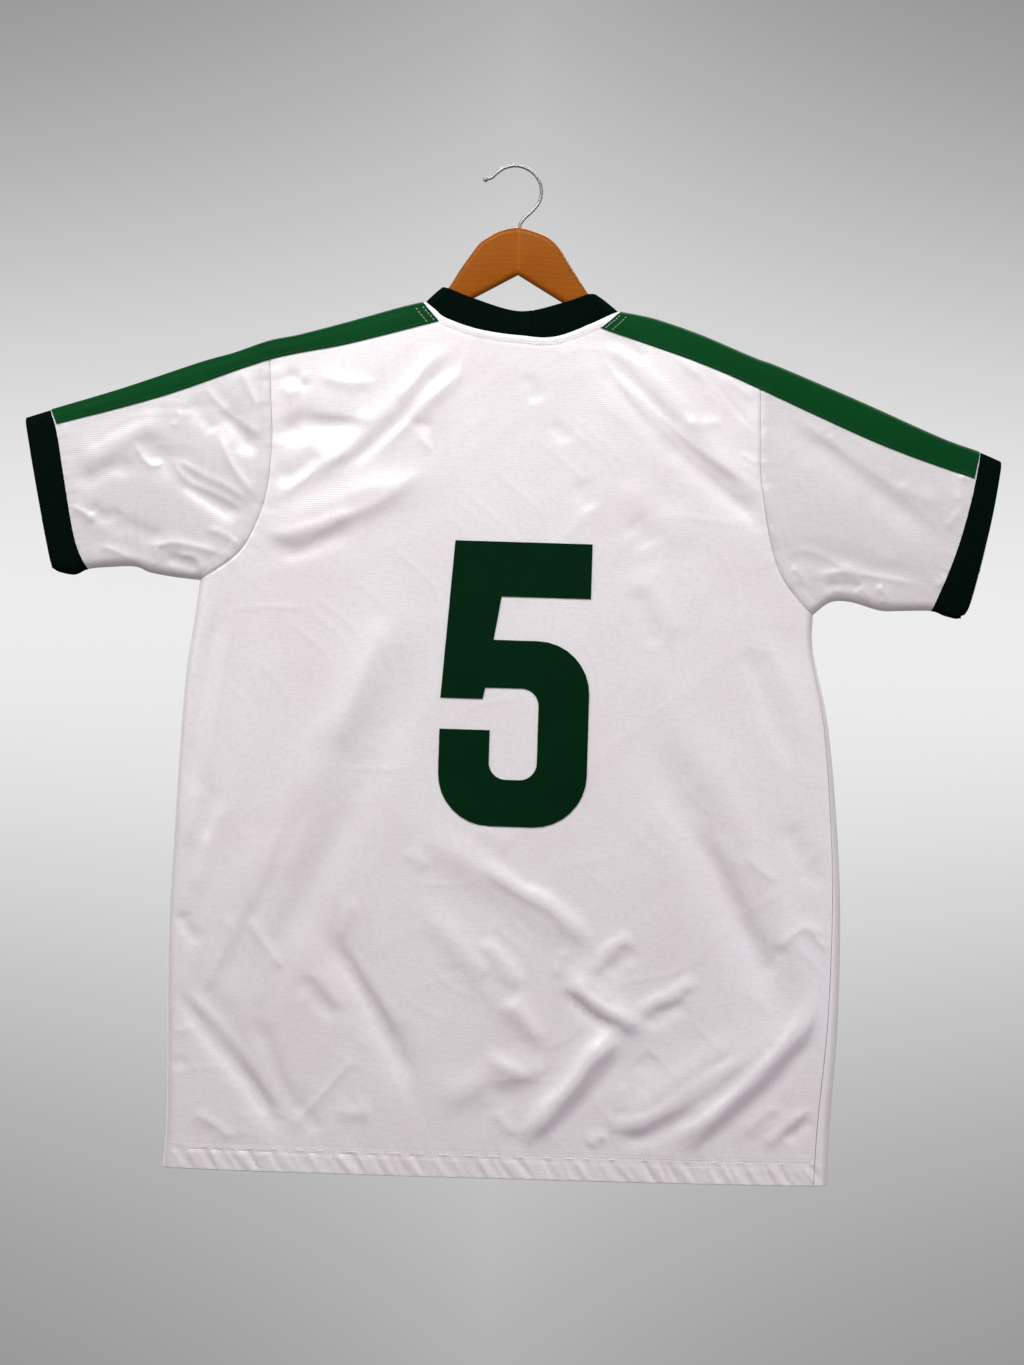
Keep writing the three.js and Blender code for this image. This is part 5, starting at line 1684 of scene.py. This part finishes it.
def wood_outline():
    """The outline of the hanger's wooden body, clockwise from the left arm's lower tip."""
    left_top = seated_arm(LEFT, ARM_REACH["left"] + TIP_LENGTH, ARM_START["left"])
    right_top = seated_arm(RIGHT, ARM_START["right"], ARM_REACH["right"] - TIP_LENGTH)
    tips = []
    for reach, tip, inward in ((ARM_REACH["left"], left_top[0], 1), (ARM_REACH["right"], right_top[-1], -1)):
        tips.append(np.array([
            (reach + inward * inset * TIP_LENGTH, tip[1] - drop * ARM_HEIGHT) for inset, drop in TIP_ROUND]))
    upper = smooth_line([*WOOD_LEFT_NECK, *WOOD_CROWN, *WOOD_RIGHT_NECK], 5)
    under_right = smooth_line([tuple(tips[1][-1]), *WOOD_UNDER_RIGHT], 8)
    under_left = smooth_line([*WOOD_UNDER_LEFT, tuple(tips[0][-1])], 8)
    corner = np.array([WOOD_CROTCH])
    return np.vstack([
        tips[0][::-1][1:], left_top, upper, right_top, tips[1][:-1], under_right, corner, under_left])


def inset_outline(outline, amount):
    """A closed outline moved inward by an amount, corner by corner."""
    before = outline - np.roll(outline, 1, axis=0)
    after = np.roll(outline, -1, axis=0) - outline
    before /= np.linalg.norm(before, axis=1, keepdims=True)
    after /= np.linalg.norm(after, axis=1, keepdims=True)
    right_before = np.stack([before[:, 1], -before[:, 0]], axis=1)
    right_after = np.stack([after[:, 1], -after[:, 0]], axis=1)
    corner = right_before + right_after
    reach = np.maximum(1 + (right_before * right_after).sum(1), 0.5)[:, None]
    return outline + amount * corner / reach


class JERSEY_OT_hanger_wood(bpy.types.Operator):
    """Varnished wooden body of the hanger, rounded all round"""
    bl_idname = "jersey.hanger_wood"
    bl_label = "Hanger Wood"

    def execute(self, context):
        outline = wood_outline()
        turn = np.linspace(math.pi / 2, 0, 7)
        insets = WOOD_ROUNDING * (1 - np.cos(turn))
        depths = WOOD_HALF_FLAT + WOOD_ROUNDING * np.sin(turn)
        profile = list(zip(insets, depths))
        profile += [(inset, -depth) for inset, depth in reversed(profile)]
        loops = []
        for inset, depth in profile:
            loop = inset_outline(outline, inset)
            loops.append(np.stack([loop[:, 0], np.full(len(loop), depth), loop[:, 1]], axis=1))
        count = len(outline)
        index = np.arange(count)
        after = np.roll(index, -1)
        faces = []
        for ring in range(len(loops) - 1):
            first, second = ring * count, (ring + 1) * count
            corners = [index + first, after + first, after + second, index + second]
            faces += np.stack(corners, axis=1).tolist()
        faces.append((index[::-1]).tolist())
        faces.append((index + (len(loops) - 1) * count).tolist())
        wood = new_object("hanger_wood_body", np.vstack(loops), faces, finish_named("honey_varnish"))
        ride_and_slot(wood, "varnished_wood", "hanger_wood")
        return {"FINISHED"}


HOOK_LINE = [
    (-25.4, -11.4), (-20, -9.4), (-14.9, -4.6), (-8.4, -0.4), (0.7, 1.5), (9.6, -0.3),
    (17.2, -5.4), (22.2, -12.8), (24, -21.3), (22.4, -29.6), (17, -37.2), (10.2, -44),
    (6.6, -49), (5.6, -53), (5.6, -58), (5.6, -75),
]
WIRE_RADIUS = 1.5
WIRE_TIP_RADIUS = 2.3
WIRE_SIDES = 24
# Rings of the ball tip and of the wire, and how far round the ball reaches before the wire starts
TIP_RINGS = 14
WIRE_RINGS = 150
TIP_REACH = math.pi * 0.77


class JERSEY_OT_hanger_hook(bpy.types.Operator):
    """Round wire hook with its small ball tip"""
    bl_idname = "jersey.hanger_hook"
    bl_label = "Hanger Hook"

    def execute(self, context):
        line = smooth_line(HOOK_LINE, 10)
        passed = lengths_of(line)
        ball = -WIRE_TIP_RADIUS * np.cos(np.linspace(0.06, TIP_REACH, TIP_RINGS))
        where = np.concatenate([ball, np.linspace(ball[-1] + 0.3, passed[-1], WIRE_RINGS)])
        round_tip = np.sqrt(np.maximum(WIRE_TIP_RADIUS ** 2 - where ** 2, 0))
        radius = np.where(where < ball[-1] + 0.01, np.maximum(round_tip, 0.05), WIRE_RADIUS)
        start_run = line[1] - line[0]
        start_run /= np.linalg.norm(start_run)
        places = along(line, np.clip(where, 0, None) / passed[-1])
        places += np.minimum(where, 0)[:, None] * start_run
        run = np.gradient(places, axis=0)
        run /= np.linalg.norm(run, axis=1, keepdims=True)
        aside = np.stack([-run[:, 1], 0 * run[:, 0], run[:, 0]], axis=1)
        centre = np.stack([places[:, 0], 0 * places[:, 0], places[:, 1]], axis=1)
        angles = np.arange(WIRE_SIDES) * 2 * math.pi / WIRE_SIDES
        level = np.array([0, 1, 0])
        rings = [centre + radius[:, None] * (aside * math.cos(a) + level * math.sin(a)) for a in angles]
        grid = np.stack(rings, axis=1)
        index = np.arange(grid.shape[0] * WIRE_SIDES).reshape(-1, WIRE_SIDES)
        beside = np.roll(index, -1, axis=1)
        faces = np.stack([index[:-1], beside[:-1], beside[1:], index[1:]], axis=-1).reshape(-1, 4)
        faces = [*faces[:, ::-1].tolist(), index[0].tolist(), index[-1][::-1].tolist()]
        material = finish_named("polished_wire")
        hook = new_object("hanger_hook_wire", grid.reshape(-1, 3), faces, material, sharp=50)
        ride_and_slot(hook, "hook_wire", "hanger_hook")
        return {"FINISHED"}


# Flat cuts

class Cut(NamedTuple):
    """What a piece was cut to: its flat width and length in metres, its area if it isn't a rectangle,
    and the pieces that it rests on and that are sewn to it."""
    flat: tuple
    area: float
    rests_on: list
    carries: list


class JERSEY_OT_flat_cuts(bpy.types.Operator):
    """Meant to say what every cloth piece was cut to before it was sewn and hung; it does nothing"""
    bl_idname = "jersey.flat_cuts"
    bl_label = "Flat Cuts"

    def execute(self, context):
        return {"FINISHED"}


# Stage

AIM = Vector((0.0112, 0, -0.4533))
SENSOR_WIDTH = 36
# The backdrop's painted glow, a belt of painted light: its height and how far it reaches
GLOW_HEIGHT = -0.3
GLOW_REACH = 1.75
AIR_ABOVE = (0.40, 0.40, 0.40)
AIR_BELOW = (0.25, 0.215, 0.235)
WARM = (1.0, 0.99, 0.975)
COOL = (0.95, 0.93, 1.0)


class Lamp(NamedTuple):
    """A soft light on the camera's side: its name, its power's setting, its size, place, aim and colour."""
    name: str
    power: str
    size: tuple
    place: tuple
    aim: tuple
    colour: tuple


LAMPS = [
    Lamp("strip", "key_power", (1.7, 0.45), (-0.25, -1.15, 0.85), (0.1, 0, -0.45), WARM),
    Lamp("left_light", "side_power", (0.5, 0.9), (-1.5, -0.9, 0.25), (0, 0, -0.5), WARM),
    Lamp("fill", "fill_power", (1.8, 1.8), (2.0, -2.2, -0.8), (0, 0, -0.6), COOL),
]


def studio_air(top, bottom):
    """Light from all round: brighter from above, and slightly pink from below."""
    world = bpy.data.worlds.new("studio_air")
    world.use_nodes = True
    tree = world.node_tree
    place = tree.nodes.new("ShaderNodeTexCoord")
    parts = tree.nodes.new("ShaderNodeSeparateXYZ")
    height = tree.nodes.new("ShaderNodeMapRange")
    blend = tree.nodes.new("ShaderNodeMix")
    blend.data_type = "RGBA"
    height.inputs["From Min"].default_value = -0.9
    height.inputs["From Max"].default_value = 0.9
    blend.inputs[6].default_value = (*bottom, 1)
    blend.inputs[7].default_value = (*top, 1)
    tree.links.new(place.outputs["Generated"], parts.inputs["Vector"])
    tree.links.new(parts.outputs["Z"], height.inputs["Value"])
    tree.links.new(height.outputs["Result"], blend.inputs["Factor"])
    tree.links.new(blend.outputs[2], tree.nodes["Background"].inputs["Color"])
    return world


def backdrop_finish(colour):
    """Seamless paper that glows though it is no lamp: painted light in a belt at the shirt's height, with
    painted shade above, below and towards the corners.
    """
    finish = Finish("seamless_paper", Roughness=0.9, Specular_IOR_Level=0.1, Emission_Strength=1.0)
    parts = finish.add("ShaderNodeSeparateXYZ", inputs={"Vector": finish.place})
    raised = finish.maths("DIVIDE", finish.maths("SUBTRACT", parts.outputs["Z"], GLOW_HEIGHT), GLOW_REACH)
    from_belt = finish.maths("POWER", finish.maths("ABSOLUTE", raised), 1.8)
    aside = finish.maths("MINIMUM", *(finish.maths("ABSOLUTE", parts.outputs[axis]) for axis in "XY"))
    to_corner = finish.ranged(aside, 1.0, 1.9, 0.0, 1.4)
    dimmed = finish.maths("MULTIPLY", from_belt, to_corner)
    glow = finish.maths("EXPONENT", finish.maths("MULTIPLY", dimmed, -1.0))
    # Painted light: the glow's colour is brightest in the belt and darker towards the top, the floor and the
    # corners
    light = finish.mix(glow, shade(colour, 0.22), shade(colour, 1.0))
    light = finish.mix(finish.ranged(finish.noise(0.8, 2.0), 0.0, 0.05), light, shade(colour, 0.5))
    base = finish.mix(glow, (0.02, 0.02, 0.02), (0.04, 0.04, 0.04))
    return finish.set(Base_Color=base, Emission_Color=light)


def bowl_object(radius, floor, material):
    """Floor and backdrop in one sweep: flat, then curved up into a wall all round."""
    curve = radius * 0.45
    flat = [(share * (radius - curve), floor) for share in np.linspace(0, 1, 8)]
    bend = [
        (radius - curve + curve * math.sin(a), floor + curve * (1 - math.cos(a)))
        for a in np.linspace(0, math.pi / 2, 24)[1:]
    ]
    wall = [(radius, floor + curve + rise) for rise in (1.0, 2.0, 3.5)]
    profile = flat[1:] + bend + wall
    around = 96
    angles = np.arange(around) * 2 * math.pi / around
    places = [(0, 0, floor)]
    for r, z in profile:
        places += [(r * math.cos(a), r * math.sin(a), z) for a in angles]
    steps = [(k, (k + 1) % around) for k in range(around)]
    faces = [(0, 1 + k, 1 + after) for k, after in steps]
    for ring in range(len(profile) - 1):
        low, high = 1 + ring * around, 1 + (ring + 1) * around
        faces += [(low + k, high + k, high + after, low + after) for k, after in steps]
    return new_object("seamless_backdrop", np.array(places) / MM, faces, material)


def area_light(name, power, size, place, target, colour):
    """A soft rectangular light aimed at a place; the camera doesn't see it."""
    lamp = bpy.data.lights.new(name, "AREA")
    lamp.shape = "RECTANGLE"
    lamp.size, lamp.size_y = size
    lamp.energy = power
    lamp.color = colour
    made = bpy.data.objects.new(name, lamp)
    made.location = place
    made.rotation_mode = "QUATERNION"
    made.rotation_quaternion = (Vector(target) - Vector(place)).to_track_quat("-Z", "Y")
    made.visible_camera = False
    bpy.context.scene.collection.objects.link(made)


class JERSEY_OT_stage(bpy.types.Operator):
    """Floor, backdrop, soft light and the camera"""
    bl_idname = "jersey.stage"
    bl_label = "Stage"

    def execute(self, context):
        scene = context.scene
        settings = scene.jersey_stage
        backdrop = bowl_object(
            settings.backdrop_radius, settings.floor_height, backdrop_finish(scene.jersey_colours.backdrop))
        # The glowing paper only shows and lights nothing: the air and the lamps light the shirt
        backdrop.visible_diffuse = False
        backdrop.visible_glossy = False
        backdrop.visible_shadow = False
        # Each lamp has a twin, turned half round, for the shirt's other side
        for face, side in (("front", 1), ("back", -1)):
            turned = Vector((side, side, 1))
            for lamp in LAMPS:
                area_light(
                    f"{face}_{lamp.name}", getattr(settings, lamp.power), lamp.size,
                    Vector(lamp.place) * turned, Vector(lamp.aim) * turned, lamp.colour)
        scene.world = studio_air(AIR_ABOVE, AIR_BELOW)
        scene.view_settings.view_transform = "Standard"
        camera = bpy.data.cameras.new("camera")
        camera.lens = settings.lens
        camera.sensor_width = SENSOR_WIDTH
        made = bpy.data.objects.new("camera", camera)
        roll = settings.camera_roll
        right = Vector((math.cos(roll), 0, math.sin(roll)))
        back = Vector((0, -1, 0))
        up = back.cross(right)
        turn = Matrix((right, up, back)).transposed()
        made.matrix_world = Matrix.Translation(AIM + back * settings.camera_distance) @ turn.to_4x4()
        scene.collection.objects.link(made)
        scene.camera = made
        return {"FINISHED"}


OPERATORS = (
    JERSEY_OT_back_panel,
    JERSEY_OT_front_panel,
    JERSEY_OT_sleeves,
    JERSEY_OT_cuffs,
    JERSEY_OT_neckband,
    JERSEY_OT_shoulder_bands,
    JERSEY_OT_back_number,
    JERSEY_OT_stitching,
    JERSEY_OT_hanger_wood,
    JERSEY_OT_hanger_hook,
    JERSEY_OT_flat_cuts,
    JERSEY_OT_stage,
)


class JERSEY_PT_pieces(bpy.types.Panel):
    """Lists the jersey's pieces and their sizes"""
    bl_idname = "JERSEY_PT_pieces"
    bl_label = "Football Jersey"
    bl_space_type = "VIEW_3D"
    bl_region_type = "UI"
    bl_category = "Jersey"

    def draw(self, context):
        scene = context.scene
        for settings in (scene.jersey_cloth, scene.jersey_colours, scene.jersey_stage):
            box = self.layout.box()
            for name in settings.bl_rna.properties.keys():
                if name not in ("rna_type", "name"):
                    box.prop(settings, name)
        for operator in OPERATORS:
            self.layout.operator(operator.bl_idname)


SETTINGS = {
    "jersey_cloth": JerseyClothSettings,
    "jersey_colours": JerseyColours,
    "jersey_stage": JerseyStageSettings,
}
CLASSES = (*SETTINGS.values(), *OPERATORS, JERSEY_PT_pieces)


def register():
    for cls in CLASSES:
        bpy.utils.register_class(cls)
    for name, group in SETTINGS.items():
        setattr(bpy.types.Scene, name, PointerProperty(type=group))


def unregister():
    for name in SETTINGS:
        delattr(bpy.types.Scene, name)
    for cls in reversed(CLASSES):
        bpy.utils.unregister_class(cls)


def run(operator):
    """Calls one of the add-on's operators and stops the script if it can't finish."""
    group, name = operator.bl_idname.split(".")
    if getattr(getattr(bpy.ops, group), name)() != {"FINISHED"}:
        raise RuntimeError(f"{operator.bl_label} didn't finish")


def main():
    register()
    for operator in OPERATORS:
        run(operator)
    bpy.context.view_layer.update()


if __name__ == "__main__":
    main()
